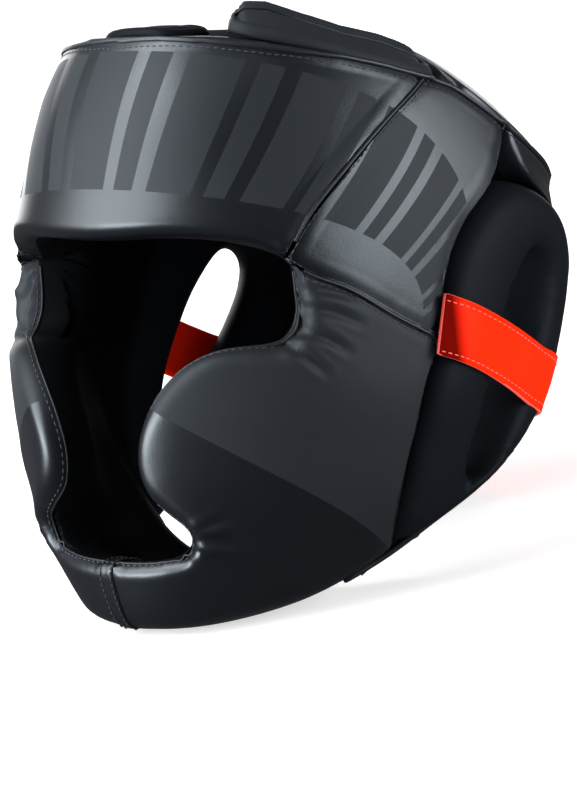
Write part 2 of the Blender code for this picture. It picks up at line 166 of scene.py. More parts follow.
# The crown pieces: the turn where each section leaves the band, and its end over the crown in HALF_WIDTHs
CROWN_FRONT = ((-15, -0.13, -0.47), (-7, -0.06, -0.48), (0, 0, -0.48), (7, 0.06, -0.48), (15, 0.13, -0.47))
FLAP_LEFT = ((30, 0.20, -0.36), (53, -0.08, -0.20), (79, -0.12, 0.06), (105, 0.00, 0.28))
FLAP_RIGHT = ((-38, 0.00, -0.32), (-56, 0.12, -0.18), (-78, 0.12, 0.06), (-100, 0.04, 0.24))
CROWN_BACK = (
    (109, 0.60, 0.26), (130, 0.36, 0.31), (154, 0.16, 0.33), (180, 0.0, 0.34), (206, -0.16, 0.33),
    (230, -0.36, 0.31), (251, -0.60, 0.26),
)
CROWN_PIECES = (
    # node, word, sections, finish, slot, wall, metres sunk, ridged, metres that its sides fall
    ("crown_front", "front", CROWN_FRONT, "ring leather", "gloss_leather", 0.0050, 0.0010, False, 0.0030),
    ("crown_flap_right", "right", FLAP_RIGHT, "flap leather", "matte_leather", 0.0045, 0.0026, False, 0.0),
    ("crown_flap_left", "left", FLAP_LEFT, "flap leather", "matte_leather", 0.0050, 0.0020, True, 0.0),
    ("crown_back", "back", CROWN_BACK, "plain leather", "gloss_leather", 0.0095, 0.0040, False, 0.0),
)
CROWN_INSET = 0.006
CROWN_RISE = 0.004
CROWN_FULLNESS = 2.3

CLEAR_OF_FLOOR = 0.0002

# The right side has been folded less than the left
FAR_SHARE = 0.3

# Folds of the cheek pads: the places along each, its depth and its width
GUARD_CREASES = (
    (((46, 0.49), (50, 0.47), (55, 0.44)), 0.0015, 0.0022),
    (((48, 0.51), (54, 0.50), (60, 0.475)), 0.0015, 0.0022),
    (((49, 0.545), (56, 0.54), (63, 0.52)), 0.0012, 0.0022),
    (((50, 0.575), (55, 0.575), (62, 0.562)), 0.0011, 0.0020),
    (((25, 0.150), (31, 0.158), (38, 0.150)), 0.0022, 0.0030),
    (((26, 0.165), (31, 0.185), (36, 0.20)), 0.0013, 0.0022),
    (((25, 0.140), (30, 0.130), (36, 0.118)), 0.0012, 0.0022),
)

# Where the padding is fuller or flatter than the form
SWELLS = (
    # turn, height, spreads of both, metres, share of it on the left side
    (51, 0.565, 16, 0.105, 0.0048, 0.15),
    (47, 0.40, 14, 0.07, 0.0012, 1.0),
    (44, 0.22, 14, 0.12, 0.0046, 0.6),
    (47, 0.82, 20, 0.10, -0.0026, 0.6),
    (128, 0.60, 16, 0.15, 0.0030, 1.0),
)

# The ridge along the outer side of the left flap: its height across the flap, how far from the band its
# groove lies, and the wall and the lift there
RIDGE_ACROSS = (
    (0, 0.0), (0.03, 0.55), (0.10, 0.95), (0.22, 1.0), (0.38, 0.62), (0.55, 0.36), (0.75, 0.34),
    (0.92, 0.2), (1, 0),
)
RIDGE_OUT = 0.0150
RIDGE_WALL = 0.0037
RIDGE_PIPING = 0.0008
LIFT = 0.0088

# A sewn pad from its edge inwards: distance, height of the top and of the underside as shares of the wall
ROLLED_EDGE = np.array((
    (0.0000, 0.50, 0.50),
    (0.0003, 0.76, 0.26),
    (0.0010, 0.95, 0.08),
    (0.0020, 1.07, 0.01),
    (0.0032, 1.08, 0.00),
    (0.0042, 0.96, 0.00),
    (0.0048, 0.78, 0.00),
    (0.0052, 0.70, 0.00),
    (0.0056, 0.78, 0.00),
    (0.0064, 0.92, 0.00),
    (0.0085, 1.02, 0.00),
    (0.0130, 1.07, 0.00),
    (0.0200, 1.10, 0.00),
    (0.0300, 1.12, 0.00),
))
ROLLED_TO = 0.01

# The piped groove inside the edge, and how finely a crown pad is divided
GROOVE = 0.0052
CROWN_PIPING = 0.0006
PAD_COLUMNS = 180
INNER_ROWS = 48
CORNER_POWER = 5.0

# Turn, metres drawn in, more metres drawn in at the lower edge and metres raised
STRAP_PULL = np.array((
    (80, 0.0000, 0.0000, 0.0000),
    (88, 0.0012, 0.0000, 0.0000),
    (100, 0.0020, 0.0000, 0.0000),
    (120, 0.0024, 0.0010, 0.0004),
    (130, 0.0042, 0.0040, 0.0018),
    (140, 0.0056, 0.0045, 0.0036),
    (152, 0.0036, 0.0024, 0.0036),
    (166, 0.0026, 0.0008, 0.0012),
    (180, 0.0022, 0.0000, 0.0000),
))

# Clear space between a strap and the leather, and the turns and places across where it is looked for
STRAP_GAP = 0.0003
STRAP_LOOK = 0.05
STRAP_TURNS = np.arange(82.0, 179.5, 1.0)
STRAP_ACROSS = np.linspace(-0.5, 0.5, 9)

# How far the bound edge is drawn up and out against the pads, and how its front end is tucked in and lifted
RIM_RISE = 0.0026
RIM_OUT = 0.0016
RIM_TUCK = (52, 62)
RIM_TUCK_DEPTH = 0.006
RIM_LIFTED = 0.6

# The stitched band over the chin seam, wrapped round the chin bar from one angle to another
CHIN_BAND_WIDTH = 0.0088
CHIN_BAND_RISE = 0.0010
CHIN_BAND_WALL = 0.0024
CHIN_MIDDLE = 0.0475
CHIN_BAND_FROM, CHIN_BAND_TO, CHIN_BAND_STEP = 128, -98, 3
CHIN_ROWS_AT = (0.13, 0.87)

# Shares of the way across the chin band, and how high it stands there
CHIN_SECTION = (
    (0.0, -0.6), (0.03, 0.5), (0.12, 0.9), (0.3, 1.0), (0.5, 0.85), (0.7, 1.0), (0.88, 0.9), (0.97, 0.5),
    (1.0, -0.6),
)

# Seam rows of the trim: how far a row of stitches lies beside its seam, and how far below the top of the band
STITCHES_BESIDE = 0.0022
BAND_STITCHES_DROP = 0.017
BAND_PIPING_DROP = 0.004

# Reflections, matte parts and the painted shade that darkens the sewn end of the straps
SHEEN_TINT = (0.80, 0.91, 1.0, 1.0)
INK_ROUGHNESS = 0.55
LINING_ROUGHNESS = 0.6
LINING_SHINE = 0.05
PILE_COLOUR = (0.010, 0.010, 0.012)
# Painted shade, mixed into the strap towards its sewn end
STRAP_PAINTED_SHADE = (0.06, 0.001, 0.001)

# Distance from the middle where the floor starts to brighten, where it is brightest, and both strengths
FLOOR_GLOW = (0.5, 2.2, 0.60, 1.0)

CAMERA_TURN = 45.0
CAMERA_RISE = 3.25
CAMERA_DISTANCE = 1.5
CAMERA_LENS = 148.5

# Where the camera aims: metres to its right of the headgear's middle, and height
CAMERA_AIM = (0.0048, 0.0935)

WHITE = (1.0, 1.0, 1.0, 1.0)
FLOOR_COLOUR = (0.62, 0.62, 0.62, 1.0)
ROOM_LIGHT = 0.09
LIGHTS_AIM = 0.12

LIGHTS = (
    # name, azimuth from the face towards the left ear, elevation, distance, width, height, power
    ("right softbox", 118, 12, 1.7, 1.5, 0.80, 30),
    ("left softbox", -30, 30, 1.7, 1.4, 1.8, 66),
    ("low left softbox", -22, 1, 1.0, 0.55, 0.24, 7.0),
    ("high left softbox", -58, 60, 1.9, 1.3, 0.7, 14),
    ("far left softbox", -112, 8, 1.7, 0.9, 0.8, 10),
    ("top softbox", 20, 84, 2.3, 2.8, 2.8, 13),
    ("back softbox", 215, 3, 2.0, 1.2, 0.4, 4),
)

# Filled in as the pieces are made: surfaces that the trim lies on, and the chin's rows of stitches
TARGETS = []
CHIN_ROWS = []


class HeadgearSizes(bpy.types.PropertyGroup):
    """Sizes of the soft parts and the trim."""

    roll: FloatProperty(
        name="Edge roll", description="How far an open edge is rounded", default=0.0085, unit="LENGTH"
    )
    seam_dip: FloatProperty(
        name="Seam dip", description="How deep a seam pulls in", default=0.0007, unit="LENGTH"
    )
    gather: FloatProperty(
        name="Gathers", description="Height of the puckers along a seam", default=0.0003, unit="LENGTH"
    )
    unevenness: FloatProperty(
        name="Unevenness", description="Soft waves in the padding", default=0.0005, unit="LENGTH"
    )
    stitch_pitch: FloatProperty(
        name="Stitch pitch", description="From one stitch to the next", default=0.0034, unit="LENGTH"
    )
    stitch_width: FloatProperty(
        name="Thread", description="Thickness of the sewing thread", default=0.0006, unit="LENGTH"
    )
    piping: FloatProperty(
        name="Piping", description="Radius of the piping round the band", default=0.0013, unit="LENGTH"
    )


class HeadgearColours(bpy.types.PropertyGroup):
    """Colours of the leathers and the thread."""

    gloss: FloatVectorProperty(
        name="Gloss leather", description="Coated black leather", default=(0.0028, 0.0033, 0.0052),
        size=3, subtype="COLOR",
    )
    print_ink: FloatVectorProperty(
        name="Print", description="Matte bars printed on the leather", default=(0.0135, 0.0160, 0.0195),
        size=3, subtype="COLOR",
    )
    cheek: FloatVectorProperty(
        name="Matte cheek", description="Matte part of the cheek pads", default=(0.0115, 0.0135, 0.0160),
        size=3, subtype="COLOR",
    )
    ring: FloatVectorProperty(
        name="Ear ring", description="Matte blue-black leather", default=(0.0046, 0.0058, 0.0080),
        size=3, subtype="COLOR",
    )
    lining: FloatVectorProperty(
        name="Lining", description="Black lining leather", default=(0.0014, 0.0016, 0.0020),
        size=3, subtype="COLOR",
    )
    orange: FloatVectorProperty(
        name="Strap", description="Orange-red strap leather", default=(1.0, 0.018, 0.0),
        size=3, subtype="COLOR",
    )
    thread: FloatVectorProperty(
        name="Thread", description="Sewing thread of the pads", default=(0.030, 0.032, 0.036),
        size=3, subtype="COLOR",
    )


def smooth_table(rows, samples=600):
    """The table as a smooth curve through its rows, sampled finely enough to read by straight lines."""
    keys, values = rows[:, 0], rows[:, 1:]
    slopes = np.gradient(values, keys, axis=0)
    at = np.linspace(keys[0], keys[-1], samples)
    i = np.clip(np.searchsorted(keys, at, side="right") - 1, 0, len(keys) - 2)
    span = (keys[i + 1] - keys[i])[:, None]
    t = (at[:, None] - keys[i][:, None]) / span
    curve = (
        values[i] * (2 * t**3 - 3 * t**2 + 1)
        + slopes[i] * span * (t**3 - 2 * t**2 + t)
        + values[i + 1] * (3 * t**2 - 2 * t**3)
        + slopes[i + 1] * span * (t**3 - t**2)
    )
    return at, curve


FORM_HEIGHTS, FORM_VALUES = smooth_table(HEAD_FORM)


def form_radius(turn, height, depth=0.0):
    """Distance of the head form from its axis at turns and heights, sunk by a depth."""
    share = np.asarray(height) / BAND_TOP
    width, front, back, power = (np.interp(share, FORM_HEIGHTS, FORM_VALUES[:, k]) for k in range(4))
    angle = np.radians(turn)
    half = width * HALF_WIDTH - depth
    reach = np.where(np.cos(angle) > 0, front * FRONT_REACH, back * BACK_REACH) - depth
    return (np.abs(np.sin(angle) / half) ** power + np.abs(np.cos(angle) / reach) ** power) ** (-1 / power)


def form_points(turn, height, depth=0.0):
    radius = form_radius(turn, height, depth)
    angle = np.radians(turn)
    up = np.broadcast_to(height, radius.shape)
    return np.stack([radius * np.sin(angle), -radius * np.cos(angle), up], axis=-1)


def stance():
    cos, sin = math.cos(STANCE_TILT), math.sin(STANCE_TILT)
    return np.array(((1, 0, 0), (0, cos, sin), (0, -sin, cos)))


def stood(worn):
    """Points from the frame of the headgear as it is worn to the one that it stands in."""
    return worn @ stance().T + STANCE_SHIFT


def as_worn(standing):
    return (standing - STANCE_SHIFT) @ stance()


def path(rows, side=1, step=0.002, depth=0.0):
    """Points along a seam, evenly spaced in the worn frame, with their turns and heights."""
    rows = np.array(rows, float)
    rows[:, 0] *= side
    rows[:, 1] *= BAND_TOP
    coarse = form_points(rows[:, 0], rows[:, 1])
    run = np.concatenate([[0], np.cumsum(np.linalg.norm(np.diff(coarse, axis=0), axis=1))])
    keyed = np.column_stack([run, rows])
    at, curve = smooth_table(keyed, max(int(run[-1] / step), 2) + 1)
    return form_points(curve[:, 0], curve[:, 1], depth), curve


def nearest(points, line):
    """Distance from each point to the line's nearest sample, and which sample that is."""
    distance = np.empty(len(points))
    index = np.empty(len(points), int)
    for start in range(0, len(points), 8000):
        part = points[start : start + 8000]
        squares = ((part[:, None, :] - line[None, :, :]) ** 2).sum(axis=2)
        index[start : start + 8000] = squares.argmin(axis=1)
        distance[start : start + 8000] = np.sqrt(squares.min(axis=1))
    return distance, index


def read_all(items, key):
    found = np.empty(len(items) * 3)
    items.foreach_get(key, found)
    return found.reshape(-1, 3)


def vertices_of(piece):
    return read_all(piece.data.vertices, "co")


def normals_of(piece):
    return read_all(piece.data.vertex_normals, "vector")


def place_vertices(piece, points):
    piece.data.vertices.foreach_set("co", np.ascontiguousarray(points, np.float64).reshape(-1))
    piece.data.update()


def select_only(piece):
    bpy.ops.object.select_all(action="DESELECT")
    bpy.context.view_layer.objects.active = piece
    piece.select_set(True)


def soft_copy(node, name):
    """A copy of a CAD node as a closed mesh of quads."""
    piece = bpy.data.objects.new(name, frame["nodes"][node].data.copy())
    piece.data.name = name
    piece.data.materials.clear()
    bpy.context.scene.collection.objects.link(piece)
    select_only(piece)
    bpy.ops.object.mode_set(mode="EDIT")
    bpy.ops.mesh.select_all(action="SELECT")
    bpy.ops.mesh.remove_doubles(threshold=0.00002)
    bpy.ops.mesh.tris_convert_to_quads(face_threshold=math.pi, shape_threshold=math.pi)
    bpy.ops.object.mode_set(mode="OBJECT")
    return piece


def smoothed(piece, levels):
    """The piece subdivided and smoothed, with the modifier applied."""
    select_only(piece)
    modifier = piece.modifiers.new("rounding", "SUBSURF")
    modifier.levels = modifier.render_levels = levels
    bpy.ops.object.modifier_apply(modifier=modifier.name)
    return piece


def coordinates(points):
    """Turn in degrees, height and depth of standing points."""
    worn = as_worn(points)
    turn = np.degrees(np.arctan2(worn[:, 0], -worn[:, 1]))
    height = worn[:, 2]
    depth = form_radius(turn, height) - np.hypot(worn[:, 0], worn[:, 1])
    return turn, height, depth


def placed(piece):
    """Turn, height and depth of a piece's vertices."""
    return coordinates(vertices_of(piece))


def place_at(piece, turn, height, depth):
    place_vertices(piece, stood(form_points(turn, height, depth)))


def look_up(table, at, column=1):
    """A column of a table, read along straight lines at places in its first column."""
    table = np.asarray(table)
    return np.interp(at, table[:, 0], table[:, column])


def across_line(line, curve, points, index):
    """For each sample of a line on the form, the direction along the surface that leads off the piece."""
    along = np.gradient(line, axis=0)
    outward = line - form_points(curve[:, 0], curve[:, 1], PAD)
    away = np.cross(along, outward)
    away /= np.maximum(np.linalg.norm(away, axis=1, keepdims=True), 1e-9)
    side = ((points - line[index]) * away[index]).sum()
    return -away if side > 0 else away


def roll_edge(piece, rows, side, radius, fade=(95.0, 120.0)):
    """Rounds the piece's whole thickness near an open edge, and lets the round nose stand out further."""
    line, curve = path(rows, side)
    turn, height, depth = placed(piece)
    flat = form_points(turn, height)
    distance, index = nearest(flat, line)
    away = across_line(line, curve, flat, index)
    share = height / BAND_TOP
    grown = NOSE_GROWTH * radius * np.clip((46 - np.abs(turn)) / 26, 0, 1)
    grown *= np.clip((share - 0.16) / 0.08, 0, 1)
    grown *= np.clip(1 - distance / (2.2 * radius), 0, 1) ** 1.5 * (share < 0.56)
    turn, height, _ = coordinates(stood(flat + away[index] * grown[:, None]))
    near = np.clip((np.abs(turn) - fade[0]) / (fade[1] - fade[0]), 0, 1)
    inward = np.clip(distance / radius, 0, 1)
    kept = NOSE_LEAST + (1 - NOSE_LEAST) * np.sqrt(1 - (1 - inward) ** 2)
    kept += (1 - kept) * near
    middle = PAD / 2
    place_at(piece, turn, height, middle + (depth - middle) * kept)


def tighten_seam(piece, line):
    """Makes the pad's edge crisp along a seam and brings it up against its neighbour."""
    turn, height, depth = placed(piece)
    flat = form_points(turn, height)
    distance, index = nearest(flat, line)
    crisp = (0, CAD_ROUNDING, 3 * CAD_ROUNDING)
    to = (0, SEAM_ROUNDING, 3 * CAD_ROUNDING)
    near = np.clip(1.5 - distance / (2 * CAD_ROUNDING), 0, 1)
    shallow = np.where(depth < crisp[-1], np.interp(depth, crisp, to), depth)
    wanted = np.where(distance < crisp[-1], np.interp(distance, crisp, to), distance)
    share = 1 - wanted / np.maximum(distance, 1e-9)
    moved = flat + (line[index] - flat) * share[:, None]
    turn, height, _ = coordinates(stood(moved))
    place_at(piece, turn, height, depth + (shallow - depth) * near)


def raise_by(piece, amount):
    """Moves each vertex along its normal by its own amount."""
    place_vertices(piece, vertices_of(piece) + normals_of(piece) * amount[:, None])


def noise_at(points, scale, shift):
    return np.array([noise.noise(Vector(point) * scale + Vector(shift)) for point in points])


def pull_seam(piece, line, dip, width, gather, seed):
    """Sinks the leather along a seam and puckers it at right angles to the seam."""
    turn, height, depth = placed(piece)
    distance, index = nearest(form_points(turn, height), line)
    wave = noise_at(line, 170, (seed, 0, 0)) + 0.5 * noise_at(line, 420, (0, seed, 0))
    strength = 0.5 + 0.5 * noise_at(line, 45, (0, 0, seed))
    near = np.exp(-((distance / width) ** 2))
    pucker = gather * (wave * strength)[index] * np.exp(-distance / (1.6 * width))
    pucker *= np.clip(distance / 0.0015, 0, 1)
    outside = np.clip(1 - depth / (PAD / 2), 0, 1)
    raise_by(piece, (pucker - dip * near) * outside)


def crease(piece, rows, depth, width, side=1):
    """A fold in the leather along a line, with a low swell beside it, that fades out at its ends."""
    line, _ = path(rows, side)
    turn, height, under = placed(piece)
    distance, index = nearest(form_points(turn, height), line)
    ends = np.sin(np.pi * (index + 0.5) / len(line)) ** 0.6
    ratio = distance / width
    shape = -np.exp(-(ratio**2)) + 0.45 * np.exp(-((ratio - 1.8) ** 2))
    outside = np.clip(1 - under / (PAD / 2), 0, 1)
    raise_by(piece, depth * shape * ends * outside)


def waves(piece, height, scale, seed):
    """Soft unevenness of the padding."""
    raise_by(piece, height * noise_at(vertices_of(piece), scale, (seed, seed, 0)))


def fullness(turn, height):
    """How far the padding stands outside the form at a place, from the table of swells."""
    grown = np.zeros(np.shape(turn))
    share = height / BAND_TOP
    for at_turn, at_height, turn_spread, height_spread, amount, left_share in SWELLS:
        off = ((np.abs(turn) - at_turn) / turn_spread) ** 2 + ((share - at_height) / height_spread) ** 2
        grown = grown + amount * np.exp(-off) * np.where(turn > 0, left_share, 1.0)
    return grown


def swell(piece):
    """Fills the padding out, or lets it in, where the table of swells says."""
    turn, height, depth = placed(piece)
    outside = np.clip(1 - depth / PAD, 0, 1)
    place_at(piece, turn, height, depth - fullness(turn, height) * outside)


def keep_above_floor(piece):
    points = vertices_of(piece)
    points[:, 2] = np.maximum(points[:, 2], CLEAR_OF_FLOOR)
    place_vertices(piece, points)


def place_map(piece):
    """A UV map of turn and height, which the prints follow."""
    turn, height, _ = placed(piece)
    loops = np.empty(len(piece.data.loops), np.int32)
    piece.data.loops.foreach_get("vertex_index", loops)
    layer = piece.data.uv_layers.new(name="place")
    values = np.column_stack([turn[loops] / 100, height[loops] / BAND_TOP])
    layer.data.foreach_set("uv", np.ascontiguousarray(values, np.float32).reshape(-1))


def mark_lining(piece, line):
    """A value on each vertex that passes one half where the outer leather gives way to the lining."""
    turn, height, depth = placed(piece)
    border = np.full(len(depth), PAD * LINING_FROM)
    if line is not None:
        distance, _ = nearest(form_points(turn, height), line)
        near = np.clip((OPENING_REACH - distance) / LINING_BLEND, 0, 1)
        border += (opening_depth(height) - border) * near
    layer = piece.data.attributes.new("lining", "FLOAT", "POINT")
    layer.data.foreach_set("value", np.clip((depth - border) / LINING_BLEND + 0.5, 0, 1).astype(np.float32))


def opening_depth(height):
    """How deep the seam between leather and lining lies round the face opening."""
    return np.interp(height / BAND_TOP, (0.13, 0.24), (0.0060, 0.0098))


def finish_piece(piece, node):
    """Shades the piece smooth and tells the frame what it is."""
    piece.data.shade_smooth()
    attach(piece, "root")
    if node:
        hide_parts(node)
    return piece


class Nodes:
    """A material's node tree, built node by node."""

    def __init__(self, name):
        self.made = bpy.data.materials.new(name)
        self.made.use_nodes = True
        self.tree = self.made.node_tree
        self.shader = self.tree.nodes["Principled BSDF"]

    def add(self, kind, *sources, **settings):
        node = self.tree.nodes.new(kind)
        for key, value in settings.items():
            setattr(node, key, value)
        for place, source in enumerate(sources):
            if source is None:
                continue
            if isinstance(source, bpy.types.NodeSocket):
                self.tree.links.new(source, node.inputs[place])
            else:
                node.inputs[place].default_value = source
        return node

    def math(self, operation, first, second=0.0, third=None):
        return self.add("ShaderNodeMath", first, second, third, operation=operation).outputs[0]

    def link(self, source, socket):
        self.tree.links.new(source, self.shader.inputs[socket])

    def mix_colour(self, factor, first, second):
        unused = [None] * 5
        return self.add("ShaderNodeMix", factor, *unused, first, second, data_type="RGBA").outputs[2]

    def mix_value(self, factor, first, second):
        return self.add("ShaderNodeMix", factor, None, first, second, data_type="FLOAT").outputs[0]

    def noise(self, place, scale, detail):
        node = self.add("ShaderNodeTexNoise", place)
        node.inputs["Scale"].default_value = scale
        node.inputs["Detail"].default_value = detail
        return node.outputs[0]

    def bump(self, height, strength, distance):
        node = self.add("ShaderNodeBump")
        node.inputs["Strength"].default_value = strength
        node.inputs["Distance"].default_value = distance
        self.tree.links.new(height, node.inputs["Height"])
        return node


def grain(nodes, size, strength, soft):
    """Leather grain as a bump: small cells, a finer tooth and, if soft, slow unevenness."""
    place = nodes.add("ShaderNodeTexCoord").outputs["Object"]
    cells = nodes.add("ShaderNodeTexVoronoi", place, feature="SMOOTH_F1")
    cells.inputs["Scale"].default_value = 1 / size
    tooth = nodes.noise(place, 2.7 / size, 3.0)
    height = nodes.math("ADD", cells.outputs["Distance"], nodes.math("MULTIPLY", tooth, 0.8))
    bump = nodes.bump(height, strength, size * 0.16)
    if soft:
        second = nodes.bump(nodes.noise(place, 55.0, 2.5), soft, 0.0009)
        nodes.tree.links.new(bump.outputs[0], second.inputs["Normal"])
        bump = second
    nodes.link(bump.outputs[0], "Normal")
    return tooth


def full(colour):
    return (*colour, 1.0)


def leather(
    name, colour, roughness, size=0.0010, strength=0.16, soft=0.08, shine=0.5,
    mask=None, ink_and_painted_shade=None, ink_and_shade_shine=0.20, lined=False,
):
    """Coated leather, with a second colour where a mask says (a matte print on the pads, painted shade at the
    sewn end of the straps) and lining where the piece is marked for it.
    """
    nodes = Nodes(name)
    tooth = grain(nodes, size, strength, soft)
    cloud = nodes.noise(nodes.add("ShaderNodeTexCoord").outputs["Object"], 38.0, 4.0)
    dark = full(value * 0.80 for value in colour)
    light = full(value * 1.22 for value in colour)
    base = nodes.mix_colour(cloud, dark, light)
    rough = nodes.mix_value(tooth, roughness - 0.05, roughness + 0.05)
    gloss = shine
    if mask is not None:
        # Where the mask says, a second colour: the matte print on the pads, painted shade at the sewn end of
        # the straps
        printed = mask(nodes)
        dark_ink_and_shade = full(value * 0.88 for value in ink_and_painted_shade)
        light_ink_and_shade = full(value * 1.12 for value in ink_and_painted_shade)
        base = nodes.mix_colour(printed, base, nodes.mix_colour(tooth, dark_ink_and_shade, light_ink_and_shade))
        rough = nodes.mix_value(printed, rough, INK_ROUGHNESS)
        gloss = nodes.mix_value(printed, shine, ink_and_shade_shine)
    if lined:
        value = nodes.add("ShaderNodeAttribute", attribute_name="lining").outputs["Fac"]
        inside = nodes.math("GREATER_THAN", value, 0.5)
        base = nodes.mix_colour(inside, base, full(bpy.context.scene.headgear_colours.lining))
        rough = nodes.mix_value(inside, rough, LINING_ROUGHNESS)
        gloss = nodes.mix_value(inside, gloss, LINING_SHINE)
    nodes.link(base, "Base Color")
    nodes.link(rough, "Roughness")
    if gloss is shine:
        nodes.shader.inputs["Specular IOR Level"].default_value = shine
    else:
        nodes.link(gloss, "Specular IOR Level")
    nodes.shader.inputs["Specular Tint"].default_value = SHEEN_TINT
    nodes.shader.inputs["IOR"].default_value = 1.5
    return nodes.made


def bars(nodes):
    """Slanted matte bars, wide and narrow in turn, between two edges that fall towards the ears."""
    uv = nodes.add("ShaderNodeUVMap", uv_map="place").outputs[0]
    split = nodes.add("ShaderNodeSeparateXYZ", uv)
    turn, height = split.outputs[0], split.outputs[1]
    slant = nodes.math("MULTIPLY_ADD", nodes.math("SUBTRACT", height, 0.84), 1.45, 1.0)
    across = nodes.math("MULTIPLY", nodes.math("DIVIDE", turn, slant), 100.0)
    step = nodes.math("FLOORED_MODULO", nodes.math("ADD", across, 5.0), 25.0)
    wide = nodes.math("LESS_THAN", step, 12.0)
    narrow = nodes.math("COMPARE", step, 18.2, 2.8)
    square = nodes.math("MULTIPLY", across, across)
    top = nodes.math("MULTIPLY_ADD", square, -0.000019, 0.976)
    bottom = nodes.math("MULTIPLY_ADD", square, -0.0000102, 0.742)
    below, above = nodes.math("LESS_THAN", height, top), nodes.math("GREATER_THAN", height, bottom)
    inside = nodes.math("MULTIPLY", below, above)
    return nodes.math("MULTIPLY", nodes.math("MAXIMUM", wide, narrow), inside)


def upper_cheek(nodes):
    """The part of the cheek above a straight slanting line, from the lobe back to the ear ring."""
    uv = nodes.add("ShaderNodeUVMap", uv_map="place").outputs[0]
    split = nodes.add("ShaderNodeSeparateXYZ", uv)
    side = nodes.math("ABSOLUTE", split.outputs[0])
    border = nodes.math("MULTIPLY_ADD", side, -0.41, 0.452)
    return nodes.math("GREATER_THAN", split.outputs[1], border)


def painted_shade_at_sewn_end(nodes):
    """Fades to one at the sewn end of a strap, where painted shade darkens the leather as if the fold shaded
    it.
    """
    uv = nodes.add("ShaderNodeUVMap", uv_map="place").outputs[0]
    side = nodes.math("ABSOLUTE", nodes.add("ShaderNodeSeparateXYZ", uv).outputs[0])
    return nodes.add("ShaderNodeMapRange", side, 0.906, 0.864, 0.0, 0.93).outputs[0]


def materials():
    """The finishes by name, made once."""
    colours = bpy.context.scene.headgear_colours
    if "printed leather" in bpy.data.materials:
        return {made.name: made for made in bpy.data.materials}
    leather("printed leather", colours.gloss, 0.34, mask=bars, ink_and_painted_shade=colours.print_ink, lined=True)
    leather("cheek leather", colours.gloss, 0.34, mask=upper_cheek, ink_and_painted_shade=colours.cheek, lined=True)
    leather("plain leather", colours.gloss, 0.34)
    leather("back leather", colours.gloss, 0.34, lined=True)
    leather("ring leather", colours.ring, 0.52, strength=0.25, shine=0.05)
    leather("flap leather", colours.print_ink, 0.60, strength=0.3, shine=0.15)
    leather("lining leather", colours.lining, 0.55, soft=0.5, shine=0.05)
    # The strap is darkened towards its sewn end by painted shade
    leather(
        "strap leather", colours.orange, 0.26, strength=0.12, soft=0.12, shine=0.02,
        mask=painted_shade_at_sewn_end, ink_and_painted_shade=STRAP_PAINTED_SHADE, ink_and_shade_shine=0.0,
    )
    pale = [min(value + 0.10, 1) for value in colours.orange]
    leather("strap edge", pale, 0.45, strength=0.1, soft=0.1, shine=0.2)
    leather("piping leather", [value * 1.6 for value in colours.gloss], 0.42, strength=0.2, soft=0.1)
    leather("dark piping", [value * 0.6 for value in colours.gloss], 0.6, strength=0.1, soft=0.0)
    leather("thread", colours.thread, 0.7, size=0.0004, strength=0.5, soft=0.0)
    leather("strap thread", pale, 0.6, size=0.0004, strength=0.5, soft=0.0)
    leather("loop pile", PILE_COLOUR, 0.95, size=0.0009, strength=1.0, soft=0.5)
    return {made.name: made for made in bpy.data.materials}


def shaped_pad(node, name, finish, side=1, rolls=(), seams=(), creases=(), opening=None):
    """A pad from its CAD solid: smoothed, rolled at its open edges and pulled in along its seams."""
    sizes = bpy.context.scene.headgear_sizes
    piece = smoothed(soft_copy(node, name), 2)
    for rows, radius, *fade in rolls:
        roll_edge(piece, rows, side, radius, *fade)
    smoothed(piece, 1)
    swell(piece)
    for rows, _ in seams:
        tighten_seam(piece, path(rows, side)[0])
    for number, (rows, share) in enumerate(seams):
        line = path(rows, side)[0]
        pull_seam(piece, line, sizes.seam_dip * share, 0.0042, sizes.gather * share, 11 * number + side)
    for rows, depth, width in creases:
        crease(piece, rows, depth * (1 if side > 0 else FAR_SHARE), width, side)
    waves(piece, sizes.unevenness, 24.0, 3 + side)
    keep_above_floor(piece)
    place_map(piece)
    mark_lining(piece, opening and path(opening, side)[0])
    piece["carries_trim"] = True
    piece.data.materials.append(materials()[finish])
    return finish_piece(piece, node)


class PadsOperator(bpy.types.Operator):
    """Pads of the forehead, temples, cheeks and back, with rolled edges, seams and folds"""

    bl_idname = "headgear.pads"
    bl_label = "Pads"

    def execute(self, context):
        roll = context.scene.headgear_sizes.roll
        whole_brow = [(-turn, height) for turn, height in BROW[:0:-1]] + list(BROW)
        whole_band = [(-turn, height) for turn, height in BAND_FRONT[:0:-1]] + list(BAND_FRONT)
        mirrored_seam = [(-turn, height) for turn, height in TEMPLE_SEAM]
        shaped_pad(
            "forehead_pad", "forehead", "printed leather", rolls=((whole_brow, roll),),
            seams=((whole_band, 1.2), (TEMPLE_SEAM, 1.0), (mirrored_seam, 1.0)),
        )
        for side, word in ((1, "left"), (-1, "right")):
            shaped_pad(
                f"temple_pad_{word}", f"temple_{word}", "printed leather", side, rolls=((TEMPLE_TIP, roll),),
                seams=((TEMPLE_SEAM, 1.0), (CHEEK_SEAM, 1.0), (BAND_SIDE, 1.2), (TEMPLE_REAR, 1.0)),
            )
            shaped_pad(
                f"face_guard_{word}", f"cheek_{word}", "cheek leather", side,
                rolls=((GUARD_INNER, roll), (GUARD_BOTTOM, roll, (48.0, 72.0))),
                seams=((CHEEK_SEAM, 1.0), (CHIN_SEAM, 1.2), (GUARD_REAR, 0.8)), creases=GUARD_CREASES,
                opening=GUARD_INNER,
            )
        whole_nape = [*NAPE, *[(360 - turn, height) for turn, height in NAPE[-2::-1]]]
        whole_back = [*BAND_BACK, *[(360 - turn, height) for turn, height in BAND_BACK[-2::-1]]]
        rolls, seams = ((whole_nape, roll),), ((whole_back, 1.2),)
        shaped_pad("back_pad", "back", "back leather", rolls=rolls, seams=seams)
        return {"FINISHED"}


